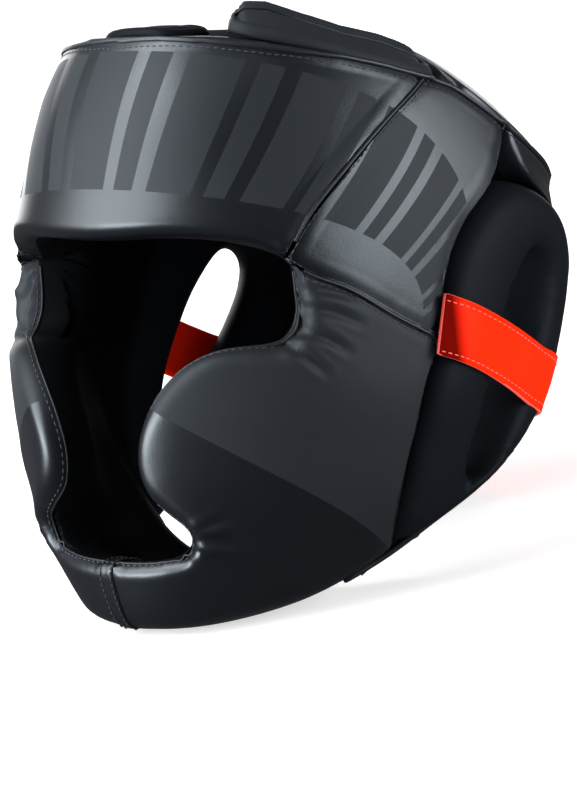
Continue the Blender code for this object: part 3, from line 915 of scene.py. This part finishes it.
class RingsOperator(bpy.types.Operator):
    """Fat padded rings round the ear openings, gathered round the hole"""

    bl_idname = "headgear.rings"
    bl_label = "Ear rings"

    def execute(self, context):
        sizes = context.scene.headgear_sizes
        for side, word in ((1, "left"), (-1, "right")):
            node = f"ear_guard_{word}"
            piece = smoothed(soft_copy(node, f"ear_ring_{word}"), 3)
            swell(piece)
            pull_seam(piece, path(EAR_HOLE, side)[0], 0.0, 0.007, sizes.gather * 4.5, 5)
            waves(piece, sizes.unevenness * 0.8, 30.0, 9)
            place_map(piece)
            piece["carries_trim"] = True
            piece.data.materials.append(materials()["ring leather"])
            finish_piece(piece, node)
        return {"FINISHED"}


def band_height(turn):
    """Height of the top of the band at a turn."""
    at, curve = smooth_table(np.array(WHOLE_BAND, float))
    turn = np.abs(turn) % 360
    return np.interp(np.where(turn > 180, 360 - turn, turn), at, curve[:, 0]) * BAND_TOP


def crown_places(sections, across, out, raised, ridged=False, crest=0.0):
    """Worn points over the crown, at shares across the sections and out from the band, raised by a height."""
    keyed = np.column_stack([np.linspace(0, 1, len(sections)), np.array(sections, float)])
    at, curve = smooth_table(keyed)
    turn, end_x, end_y = (np.interp(across, at, curve[:, k]) for k in range(3))
    start = form_points(turn, band_height(turn), CROWN_INSET)
    x = start[:, 0] + out * (end_x * HALF_WIDTH - start[:, 0])
    y = start[:, 1] + out * (end_y * HALF_WIDTH - start[:, 1])
    around = np.degrees(np.arctan2(x, -y))
    low = band_height(around)
    reach = form_radius(around, low, CROWN_INSET)
    share = np.minimum(np.hypot(x, y) / reach, 1)
    dome = low + (BAND_TOP + CROWN_RISE - low) * (1 - share**CROWN_FULLNESS)
    dome = dome - crest * (2 * np.asarray(across) - 1) ** 2
    if ridged:
        length = np.hypot(end_x * HALF_WIDTH - start[:, 0], end_y * HALF_WIDTH - start[:, 1])
        dome = dome + ridge(across, out * length)
    return np.column_stack([x, y, dome + raised])


def ridge(across, distance):
    """Metres that the flap rises over the dome: up to a piped groove, a roll beyond it, and a slow fall."""
    height = look_up(RIDGE_ACROSS, across)
    rise = np.clip(distance / RIDGE_OUT, 0, 1)
    fall = 1 - 0.45 * np.clip((distance - RIDGE_OUT - 0.006) / 0.03, 0, 1)
    ends = np.clip(np.minimum(across, 1 - across) / 0.06, 0, 1)
    groove = -0.0012 * np.exp(-(((distance - RIDGE_OUT) / 0.0010) ** 2)) * ends
    roll = 0.0026 * np.exp(-(((distance - RIDGE_OUT - 0.0030) / 0.0024) ** 2)) * ends
    return height * rise * fall * LIFT + groove + roll


def rounded_square(count):
    """A closed outline in the unit square with rounded corners, as an array of places."""
    angles = np.linspace(0, 2 * np.pi, count, endpoint=False)
    cos, sin = np.cos(angles), np.sin(angles)
    reach = (np.abs(cos) ** CORNER_POWER + np.abs(sin) ** CORNER_POWER) ** (-1 / CORNER_POWER)
    return np.column_stack([cos * reach, sin * reach]) / 2 + 0.5


def sphere(name, columns, rows):
    """A sphere to be drawn out into a closed shape, with each vertex's row from the top and its column."""
    bpy.ops.object.select_all(action="DESELECT")
    bpy.ops.mesh.primitive_uv_sphere_add(segments=columns, ring_count=rows, radius=1.0)
    piece = bpy.context.object
    piece.name = piece.data.name = name
    start = vertices_of(piece)
    row = np.rint(np.arccos(np.clip(start[:, 2], -1, 1)) / np.pi * rows).astype(int)
    turn = np.arctan2(start[:, 1], start[:, 0]) / (2 * np.pi) % 1
    return piece, row, np.rint(turn * columns).astype(int) % columns


def crown_pad(node, name, sections, finish, slot, wall, sink, ridged, crest):
    """A pad over the crown with a rolled edge and a groove inside it; returns the line of the groove."""
    outline = rounded_square(PAD_COLUMNS)
    middle = np.array((0.5, 0.5))
    edge = crown_places(sections, outline[:, 0], outline[:, 1], 0.0, ridged, crest)
    centre = crown_places(sections, middle[:1], middle[1:], 0.0, ridged, crest)
    reach = np.linalg.norm(edge - centre, axis=1)
    rolled = ROLLED_EDGE[ROLLED_EDGE[:, 0] < ROLLED_TO, 0]
    inner = np.linspace(1, 0, INNER_ROWS + 2)[1:]

    def ring(kept, column, height):
        """Standing places at shares of the way from the centre to the edge, each at its height."""
        place = middle + (outline[column] - middle) * kept[:, None]
        raised = look_up(ROLLED_EDGE, (1 - kept) * reach[column], height) * wall - sink
        return stood(crown_places(sections, place[:, 0], place[:, 1], raised, ridged, crest))

    shares = [1 - distance / reach for distance in rolled]
    shares += [shares[-1] * share for share in inner]
    shares = np.array(shares)
    rows = len(shares) - 1
    piece, row, column = sphere(name, PAD_COLUMNS, 2 * rows)
    points = np.empty((len(row), 3))
    for height, chosen in ((1, row <= rows), (2, row > rows)):
        kept = shares[np.abs(rows - row[chosen]), column[chosen]]
        points[chosen] = ring(kept, column[chosen], height)
    place_vertices(piece, points)
    face_outwards(piece)
    waves(piece, bpy.context.scene.headgear_sizes.unevenness * 0.7, 40.0, 2)
    place_map(piece)
    piece.data.materials.append(materials()[finish])
    finish_piece(piece, node)
    every = np.arange(PAD_COLUMNS)
    return ring(1 - GROOVE / reach, every, 1)


def face_outwards(piece):
    mesh = bmesh.new()
    mesh.from_mesh(piece.data)
    bmesh.ops.recalc_face_normals(mesh, faces=mesh.faces)
    if mesh.calc_volume(signed=True) < 0:
        bmesh.ops.reverse_faces(mesh, faces=mesh.faces)
    mesh.to_mesh(piece.data)
    mesh.free()


class CrownOperator(bpy.types.Operator):
    """Flaps and pads over the crown, each with a rolled edge and a piped groove"""

    bl_idname = "headgear.crown"
    bl_label = "Crown"

    def execute(self, context):
        for node, word, sections, finish, slot, *shape in CROWN_PIECES:
            name = f"crown_pad_{word}"
            groove = crown_pad(node, name, sections, finish, slot, *shape)
            tube(f"crown_piping_{word}", upright(groove), CROWN_PIPING, "dark piping", closed=True)
        share = np.linspace(0.02, 0.98, 90)
        ends = crown_places(FLAP_LEFT, share, np.ones(90), 0.0)
        starts = crown_places(FLAP_LEFT, share, np.zeros(90), 0.0)
        out = RIDGE_OUT / np.linalg.norm((ends - starts)[:, :2], axis=1)
        line = stood(crown_places(FLAP_LEFT, share, out, RIDGE_WALL, True))
        tube("ridge_piping", upright(line), RIDGE_PIPING, "dark piping")
        return {"FINISHED"}


class StrapsOperator(bpy.types.Operator):
    """Orange side straps and the hook-and-loop patch at the back"""

    bl_idname = "headgear.straps"
    bl_label = "Straps"

    def execute(self, context):
        for word in ("left", "right"):
            node = f"side_strap_{word}"
            piece = soft_copy(node, f"strap_{word}")
            crease_sharp_edges(piece)
            smoothed(piece, 2)
            draw_strap_in(piece)
            keep_strap_out(piece)
            place_map(piece)
            for finish in ("strap leather", "strap edge"):
                piece.data.materials.append(materials()[finish])
            for face in piece.data.polygons:
                worn = as_worn(np.array(face.center))
                outward = Vector(stance() @ np.array((worn[0], worn[1], 0.0))).normalized()
                face.material_index = int(abs(face.normal.dot(outward)) < 0.55)
            finish_piece(piece, node)
        patch = soft_copy("closure_patch", "closure_pile")
        crease_sharp_edges(patch)
        smoothed(patch, 2)
        patch.data.materials.append(materials()["loop pile"])
        finish_piece(patch, "closure_patch")
        return {"FINISHED"}


def draw_strap_in(piece):
    """Draws a strap in on the ring and the back, so that it lies on the leather."""
    turn, height, depth = placed(piece)
    around = np.abs(turn)
    inward, lower, raised = (look_up(STRAP_PULL, around, column) for column in (1, 2, 3))
    middle = look_up(SIDE_STRAP, around) * BAND_TOP
    below = np.clip((middle - height) / STRAP_WIDTH + 0.5, 0, 1)
    place_at(piece, turn, height + raised, depth + inward + lower * below)


def spread(values, reach, rule):
    """Each value of a table replaced by the greatest or the mean of those round it."""
    padded = np.pad(values, reach, mode="edge")
    rows, columns = values.shape
    near = [
        padded[i : i + rows, j : j + columns]
        for i in range(2 * reach + 1)
        for j in range(2 * reach + 1)
    ]
    return rule(near, axis=0)


def keep_strap_out(piece):
    """Moves a strap out where it would lie inside a pad, and by less beside such places."""
    turn, height, depth = placed(piece)
    side = 1 if turn.mean() > 0 else -1
    around = np.abs(turn)
    across = (height - look_up(SIDE_STRAP, around) * BAND_TOP - look_up(STRAP_PULL, around, 3)) / STRAP_WIDTH
    targets = shells()
    moved = np.zeros((len(STRAP_TURNS), len(STRAP_ACROSS)))
    for i, at_turn in enumerate(STRAP_TURNS):
        line = look_up(SIDE_STRAP, at_turn) * BAND_TOP + look_up(STRAP_PULL, at_turn, 3)
        for j, at_across in enumerate(STRAP_ACROSS):
            here = (np.abs(around - at_turn) < 1.6) & (np.abs(across - at_across) < 0.14)
            if not here.any():
                continue
            at_height = line + at_across * STRAP_WIDTH
            places = form_points(np.full(2, side * at_turn), at_height, np.array((-STRAP_LOOK, 0.03)))
            start, end = (Vector(place) for place in stood(places))
            hits = [tree.ray_cast(start, (end - start).normalized(), 0.08) for tree in targets]
            reached = min((hit[3] for hit in hits if hit[0] is not None), default=None)
            if reached is not None:
                moved[i, j] = max(depth[here].max() - (reached - STRAP_LOOK) + STRAP_GAP, 0.0)
    moved = spread(spread(moved, 1, np.max), 1, np.mean)
    row = np.clip(around - STRAP_TURNS[0], 0, len(STRAP_TURNS) - 1.001)
    column = np.clip((across + 0.5) * (len(STRAP_ACROSS) - 1), 0, len(STRAP_ACROSS) - 1.001)
    i, j = row.astype(int), column.astype(int)
    a, b = row - i, column - j
    low = moved[i, j] * (1 - a) + moved[i + 1, j] * a
    high = moved[i, j + 1] * (1 - a) + moved[i + 1, j + 1] * a
    place_at(piece, turn, height, depth - low * (1 - b) - high * b)


def crease_sharp_edges(piece, amount=0.85):
    """Keeps the corners of a flat piece crisp when it is smoothed."""
    mesh = bmesh.new()
    mesh.from_mesh(piece.data)
    layer = mesh.edges.layers.float.new("crease_edge")
    for e in mesh.edges:
        if len(e.link_faces) == 2 and e.calc_face_angle() > math.radians(50):
            e[layer] = amount
    mesh.to_mesh(piece.data)
    mesh.free()


def shells():
    """Surfaces of the pads and rings made so far, on which straps and trim lie."""
    graph = bpy.context.evaluated_depsgraph_get()
    return [
        BVHTree.FromObject(piece, graph)
        for piece in bpy.context.scene.objects
        if piece.get("carries_trim")
    ]


def laid_on(targets, points):
    """The places on the pads nearest to standing points, with the surface's normals there."""
    found = []
    for point in points:
        hits = [tree.find_nearest(Vector(point), 0.02) for tree in targets]
        hits = [hit for hit in hits if hit[0] is not None]
        if hits:
            place, normal, _, _ = min(hits, key=lambda hit: hit[3])
            found.append((place, normal))
    return found


def along_seam(rows, side=1, shift=0.0, step=0.0034, depth=0.0):
    """Standing points along a seam, moved sideways over the form by a shift."""
    points, curve = path(rows, side, step, depth)
    directions = np.gradient(points, axis=0)
    inner = form_points(curve[:, 0], curve[:, 1], PAD)
    outward = form_points(curve[:, 0], curve[:, 1]) - inner
    sideways = np.cross(directions, outward)
    sideways /= np.linalg.norm(sideways, axis=1, keepdims=True)
    return stood(points + sideways * shift)


def upright(points):
    """Places for a tube that lies inside or on a piece, with a direction straight up at each."""
    return [(Vector(point), Vector((0, 0, 1))) for point in points]


def buried(rows, side, step, depth):
    """Places along a seam at a depth under the leather, for a cord inside it."""
    _, curve = path(rows, side, step)
    line = form_points(curve[:, 0], curve[:, 1], depth - fullness(curve[:, 0], curve[:, 1]))
    return upright(stood(line))


def opening_line(side, above, step):
    """Standing places along the seam between leather and lining, or a little to the outer side of it."""
    _, curve = path((OPENING_START, *GUARD_INNER[1:]), side, step)
    points = form_points(curve[:, 0], curve[:, 1], opening_depth(curve[:, 1]) - above)
    return laid_on(TARGETS, stood(points))


def on_surface(rows, side=1, shift=0.0, step=0.0034, depth=0.0, targets=None):
    return laid_on(targets or TARGETS, along_seam(rows, side, shift, step, depth))


def tube(name, places, radius, finish, lift=0.0, closed=False):
    """A round bead along places on the pads."""
    line = bpy.data.curves.new(name, "CURVE")
    line.dimensions = "3D"
    line.bevel_depth = radius
    line.bevel_resolution = 2
    line.use_fill_caps = not closed
    spline = line.splines.new("POLY")
    spline.points.add(len(places) - 1)
    spline.use_cyclic_u = closed
    for point, (place, normal) in zip(spline.points, places):
        point.co = (*(place + normal * lift), 1.0)
    piece = bpy.data.objects.new(name, line)
    bpy.context.scene.collection.objects.link(piece)
    select_only(piece)
    bpy.ops.object.convert(target="MESH")
    piece = bpy.context.object
    piece.data.materials.clear()
    piece.data.materials.append(materials()[finish])
    return finish_piece(piece, None)


def stitches(name, places, finish="thread", length=0.0024):
    """A row of separate stitches, each a small rounded bead of thread."""
    sizes = bpy.context.scene.headgear_sizes
    bpy.ops.object.select_all(action="DESELECT")
    bpy.ops.mesh.primitive_uv_sphere_add(segments=6, ring_count=4, radius=1.0)
    bead = bpy.context.object
    shape = vertices_of(bead)
    faces = [tuple(face.vertices) for face in bead.data.polygons]
    bpy.data.objects.remove(bead)
    points, polygons = [], []
    for (place, normal), (after, _) in zip(places, places[1:]):
        along = after - place
        if along.length > 0.012 or along.length < 1e-5:
            continue
        along.normalize()
        across = normal.cross(along).normalized()
        up = along.cross(across)
        middle = (place + after) / 2 + normal * sizes.stitch_width * 0.15
        axes = np.array((
            np.array(across) * sizes.stitch_width / 2,
            np.array(up) * sizes.stitch_width / 2,
            np.array(along) * length / 2,
        ))
        offset = len(points) * len(shape)
        points.append(shape @ axes + np.array(middle))
        polygons += [tuple(offset + corner for corner in face) for face in faces]
    if not points:
        raise RuntimeError(f"{name} found no leather to lie on")
    data = bpy.data.meshes.new(name)
    data.from_pydata(np.concatenate(points).tolist(), [], polygons)
    piece = bpy.data.objects.new(name, data)
    bpy.context.scene.collection.objects.link(piece)
    data.materials.append(materials()[finish])
    return finish_piece(piece, None)


def chin_band():
    """A strip of leather wrapped round the chin bar, with a row of stitches along each side."""
    angles = np.radians(np.arange(CHIN_BAND_FROM, CHIN_BAND_TO - 1, -CHIN_BAND_STEP))
    middle = form_points(np.array(0.0), np.array(CHIN_MIDDLE * BAND_TOP), PAD / 2)
    half = CHIN_BAND_WIDTH / 2
    edges = []
    for side in (-1, 1):
        starts = [middle + np.array((side * half, -math.cos(a) * 0.04, math.sin(a) * 0.04)) for a in angles]
        ends = middle + np.array((side * half, 0, 0))
        row = []
        for start in starts:
            direction = Vector(stood(ends) - stood(start)).normalized()
            hits = [tree.ray_cast(Vector(stood(start)), direction, 0.06) for tree in TARGETS]
            hits = [hit for hit in hits if hit[0] is not None]
            if not hits:
                raise RuntimeError("the chin band found no leather to lie on")
            place, normal, _, _ = min(hits, key=lambda hit: hit[3])
            row.append((np.array(place), np.array(normal)))
        edges.append(row)
    bpy.ops.object.select_all(action="DESELECT")
    across, along = len(CHIN_SECTION) - 1, len(angles) - 1
    bpy.ops.mesh.primitive_grid_add(x_subdivisions=across, y_subdivisions=along, size=2.0)
    piece = bpy.context.object
    piece.name = piece.data.name = "chin_band"
    flat = (vertices_of(piece)[:, :2] + 1) / 2
    columns = np.rint(flat[:, 0] * across).astype(int)
    rows = np.rint(flat[:, 1] * along).astype(int)
    share, rise = (np.array(CHIN_SECTION)[columns, k][:, None] for k in range(2))
    places = np.array([[place for place, _ in edge] for edge in edges])
    normals = np.array([[normal for _, normal in edge] for edge in edges])
    place = places[0][rows] * (1 - share) + places[1][rows] * share
    normal = normals[0][rows] * (1 - share) + normals[1][rows] * share
    normal /= np.linalg.norm(normal, axis=1, keepdims=True)
    place_vertices(piece, place + normal * rise * CHIN_BAND_RISE)
    if Vector(normal[0]).dot(piece.data.polygons[0].normal) < 0:
        piece.data.flip_normals()
    wall = piece.modifiers.new("wall", "SOLIDIFY")
    wall.thickness = CHIN_BAND_WALL
    wall.offset = -1
    bpy.ops.object.modifier_apply(modifier=wall.name)
    smoothed(piece, 1)
    piece.data.materials.append(materials()["plain leather"])
    finish_piece(piece, None)
    piece["carries_trim"] = True
    facing = (normals[0] + normals[1]) / 2
    for at in CHIN_ROWS_AT:
        row = places[0] * (1 - at) + places[1] * at + facing * CHIN_BAND_RISE
        CHIN_ROWS.append([(Vector(place), Vector(up).normalized()) for place, up in zip(row, facing)])


class TrimOperator(bpy.types.Operator):
    """Cords and fillers in the seams, piping, the band over the chin seam and the bound bottom edge"""

    bl_idname = "headgear.trim"
    bl_label = "Piping and rims"

    def execute(self, context):
        sizes = context.scene.headgear_sizes
        TARGETS[:] = shells()
        for side, word in ((1, "left"), (-1, "right")):
            for rows, seam, first in (
                (TEMPLE_SEAM, "temple", 4), (CHEEK_SEAM, "cheek", 4),
                (GUARD_REAR, "ring_front", 2), (TEMPLE_REAR, "ring_top", 2),
            ):
                places = buried(rows, side, 0.004, WELT_DEPTH)[first:-2]
                tube(f"{seam}_welt_{word}", places, WELT, "lining leather")
            places = buried(CORNER_FILLER, side, 0.004, FILLER_DEPTH)
            tube(f"corner_filler_{word}", places, FILLER, "lining leather")
            first = 3 if side > 0 else 8
            for rows, seam in ((TEMPLE_SEAM, "temple"), (CHEEK_SEAM, "cheek")):
                places = buried(rows, side, 0.003, CORD_DEPTH)[first:-1]
                tube(f"{seam}_cord_{word}", places, CORD, "piping leather")
        right = [(360 - turn, height) for turn, height in WHOLE_BAND[-2:0:-1]]
        ring = [(turn, height - BAND_PIPING_DROP) for turn, height in [*WHOLE_BAND, *right, WHOLE_BAND[0]]]
        tube("band_piping", on_surface(ring, step=0.003), sizes.piping, "piping leather")
        chin_band()
        for side, word in ((1, "left"), (-1, "right")):
            places = opening_line(side, 0.0, 0.002)
            tube(f"opening_seam_{word}", places, 0.0005, "dark piping", lift=0.0001)
        for word in ("left", "right"):
            node = f"rim_{word}"
            piece = smoothed(soft_copy(node, f"bound_edge_{word}"), 1)
            turn, height, depth = placed(piece)
            tucked = np.clip((RIM_TUCK[1] - np.abs(turn)) / (RIM_TUCK[1] - RIM_TUCK[0]), 0, 1) ** 2
            tucked *= RIM_TUCK_DEPTH
            place_at(piece, turn, height + RIM_RISE + tucked * RIM_LIFTED, depth - RIM_OUT + tucked)
            piece.data.materials.append(materials()["piping leather"])
            finish_piece(piece, node)
        return {"FINISHED"}


class StitchingOperator(bpy.types.Operator):
    """Rows of stitches along the seams, the chin and the straps"""

    bl_idname = "headgear.stitching"
    bl_label = "Stitching"

    def execute(self, context):
        TARGETS[:] = shells()
        pitch = context.scene.headgear_sizes.stitch_pitch
        lowered = [(turn, height - BAND_STITCHES_DROP) for turn, height in WHOLE_BAND]
        for side, word in ((1, "left"), (-1, "right")):
            beside = STITCHES_BESIDE * side
            stitches(f"temple_stitches_{word}", on_surface(TEMPLE_SEAM, side, beside, pitch))
            stitches(f"cheek_stitches_{word}", on_surface(CHEEK_SEAM, side, beside, pitch))
            stitches(f"band_stitches_{word}", on_surface(lowered, side, 0.0, pitch))
            stitches(f"opening_stitches_{word}", opening_line(side, 0.0020, pitch))
            strap = bpy.data.objects[f"strap_{word}"]
            only = [BVHTree.FromObject(strap, context.evaluated_depsgraph_get())]
            for edge, share in (("upper", 1), ("lower", -1)):
                shift = share * (STRAP_WIDTH / 2 - STITCHES_BESIDE)
                row = on_surface(SIDE_STRAP, side, shift, pitch, -0.0085, only)
                stitches(f"strap_stitches_{edge}_{word}", row, "strap thread")
        for number, row in enumerate(CHIN_ROWS):
            spaced = resampled(row, pitch * 0.8)
            stitches(f"chin_stitches_{number + 1}", spaced, length=0.0020)
        return {"FINISHED"}


def resampled(places, step):
    """The same line of places at an even step."""
    points = np.array([place for place, _ in places])
    normals = np.array([normal for _, normal in places])
    run = np.concatenate([[0], np.cumsum(np.linalg.norm(np.diff(points, axis=0), axis=1))])
    at = np.linspace(0, run[-1], max(int(run[-1] / step), 2) + 1)
    points = np.column_stack([np.interp(at, run, points[:, k]) for k in range(3)])
    normals = np.column_stack([np.interp(at, run, normals[:, k]) for k in range(3)])
    return [(Vector(point), Vector(normal).normalized()) for point, normal in zip(points, normals)]


class StageOperator(bpy.types.Operator):
    """Pale floor, soft studio lights and the camera"""

    bl_idname = "headgear.stage"
    bl_label = "Studio"

    def execute(self, context):
        make_floor()
        make_lights(context.scene)
        make_camera(context.scene)
        context.scene.view_settings.view_transform = "Standard"
        return {"FINISHED"}


def make_floor():
    """A wide pale floor that glows a little more further out, so that it meets the background."""
    bpy.ops.object.select_all(action="DESELECT")
    bpy.ops.mesh.primitive_plane_add(size=16.0, location=(0, 0, 0))
    floor = bpy.context.object
    floor.name = "floor"
    floor.visible_glossy = False
    ground = Nodes("pale floor")
    ground.shader.inputs["Base Color"].default_value = FLOOR_COLOUR
    ground.shader.inputs["Roughness"].default_value = 0.9
    ground.shader.inputs["Specular IOR Level"].default_value = 0.1
    ground.shader.inputs["Emission Color"].default_value = WHITE
    place = ground.add("ShaderNodeTexCoord").outputs["Object"]
    far = ground.add("ShaderNodeVectorMath", place, operation="LENGTH").outputs["Value"]
    ground.link(ground.add("ShaderNodeMapRange", far, *FLOOR_GLOW).outputs[0], "Emission Strength")
    floor.data.materials.append(ground.made)


def direction(azimuth, elevation):
    """The direction at an azimuth from the face towards the left ear and an elevation, in degrees."""
    around, up = math.radians(azimuth), math.radians(elevation)
    return Vector((math.cos(up) * math.sin(around), -math.cos(up) * math.cos(around), math.sin(up)))


def make_lights(scene):
    world = bpy.data.worlds.new("studio")
    world.use_nodes = True
    world.node_tree.nodes["Background"].inputs["Color"].default_value = WHITE
    world.node_tree.nodes["Background"].inputs["Strength"].default_value = ROOM_LIGHT
    scene.world = world
    for name, azimuth, elevation, distance, width, height, power in LIGHTS:
        lamp = bpy.data.lights.new(name, "AREA")
        lamp.shape = "RECTANGLE"
        lamp.size = width
        lamp.size_y = height
        lamp.energy = power
        light = bpy.data.objects.new(name, lamp)
        light.visible_camera = False
        scene.collection.objects.link(light)
        away = direction(azimuth, elevation)
        light.location = Vector((0, 0, LIGHTS_AIM)) + away * distance
        light.rotation_euler = away.to_track_quat("Z", "Y").to_euler()


def make_camera(scene):
    """A camera that is level in the frame of the headgear as it is worn."""
    lens = bpy.data.cameras.new("camera")
    lens.lens = CAMERA_LENS
    lens.sensor_width = 36.0
    camera = bpy.data.objects.new("camera", lens)
    scene.collection.objects.link(camera)
    back = np.array(direction(CAMERA_TURN, CAMERA_RISE))
    right = np.array(direction(CAMERA_TURN + 90, 0))
    target = right * CAMERA_AIM[0] + np.array((0, 0, CAMERA_AIM[1]))
    axes = stance() @ np.column_stack([right, np.cross(back, right), back])
    matrix = Matrix(axes.tolist()).to_4x4()
    matrix.translation = Vector(stood(target + back * CAMERA_DISTANCE))
    camera.matrix_world = matrix
    scene.camera = camera


class HeadgearPanel(bpy.types.Panel):
    """Lists the steps that dress the headgear"""

    bl_idname = "VIEW3D_PT_headgear"
    bl_label = "Boxing Headgear"
    bl_space_type = "VIEW_3D"
    bl_region_type = "UI"
    bl_category = "Headgear"

    def draw(self, context):
        for group in (context.scene.headgear_sizes, context.scene.headgear_colours):
            for key in group.__annotations__:
                self.layout.prop(group, key)
        for step in STEPS:
            self.layout.operator(step.bl_idname)


STEPS = (
    PadsOperator, RingsOperator, CrownOperator, StrapsOperator,
    TrimOperator, StitchingOperator, StageOperator,
)
CLASSES = (HeadgearSizes, HeadgearColours, *STEPS, HeadgearPanel)


def register():
    for one in CLASSES:
        bpy.utils.register_class(one)
    bpy.types.Scene.headgear_sizes = PointerProperty(type=HeadgearSizes)
    bpy.types.Scene.headgear_colours = PointerProperty(type=HeadgearColours)


def unregister():
    del bpy.types.Scene.headgear_colours
    del bpy.types.Scene.headgear_sizes
    for one in reversed(CLASSES):
        bpy.utils.unregister_class(one)


def main():
    register()
    bpy.ops.headgear.pads()
    bpy.ops.headgear.rings()
    bpy.ops.headgear.crown()
    bpy.ops.headgear.straps()
    bpy.ops.headgear.trim()
    bpy.ops.headgear.stitching()
    bpy.ops.headgear.stage()


if __name__ == "__main__":
    main()
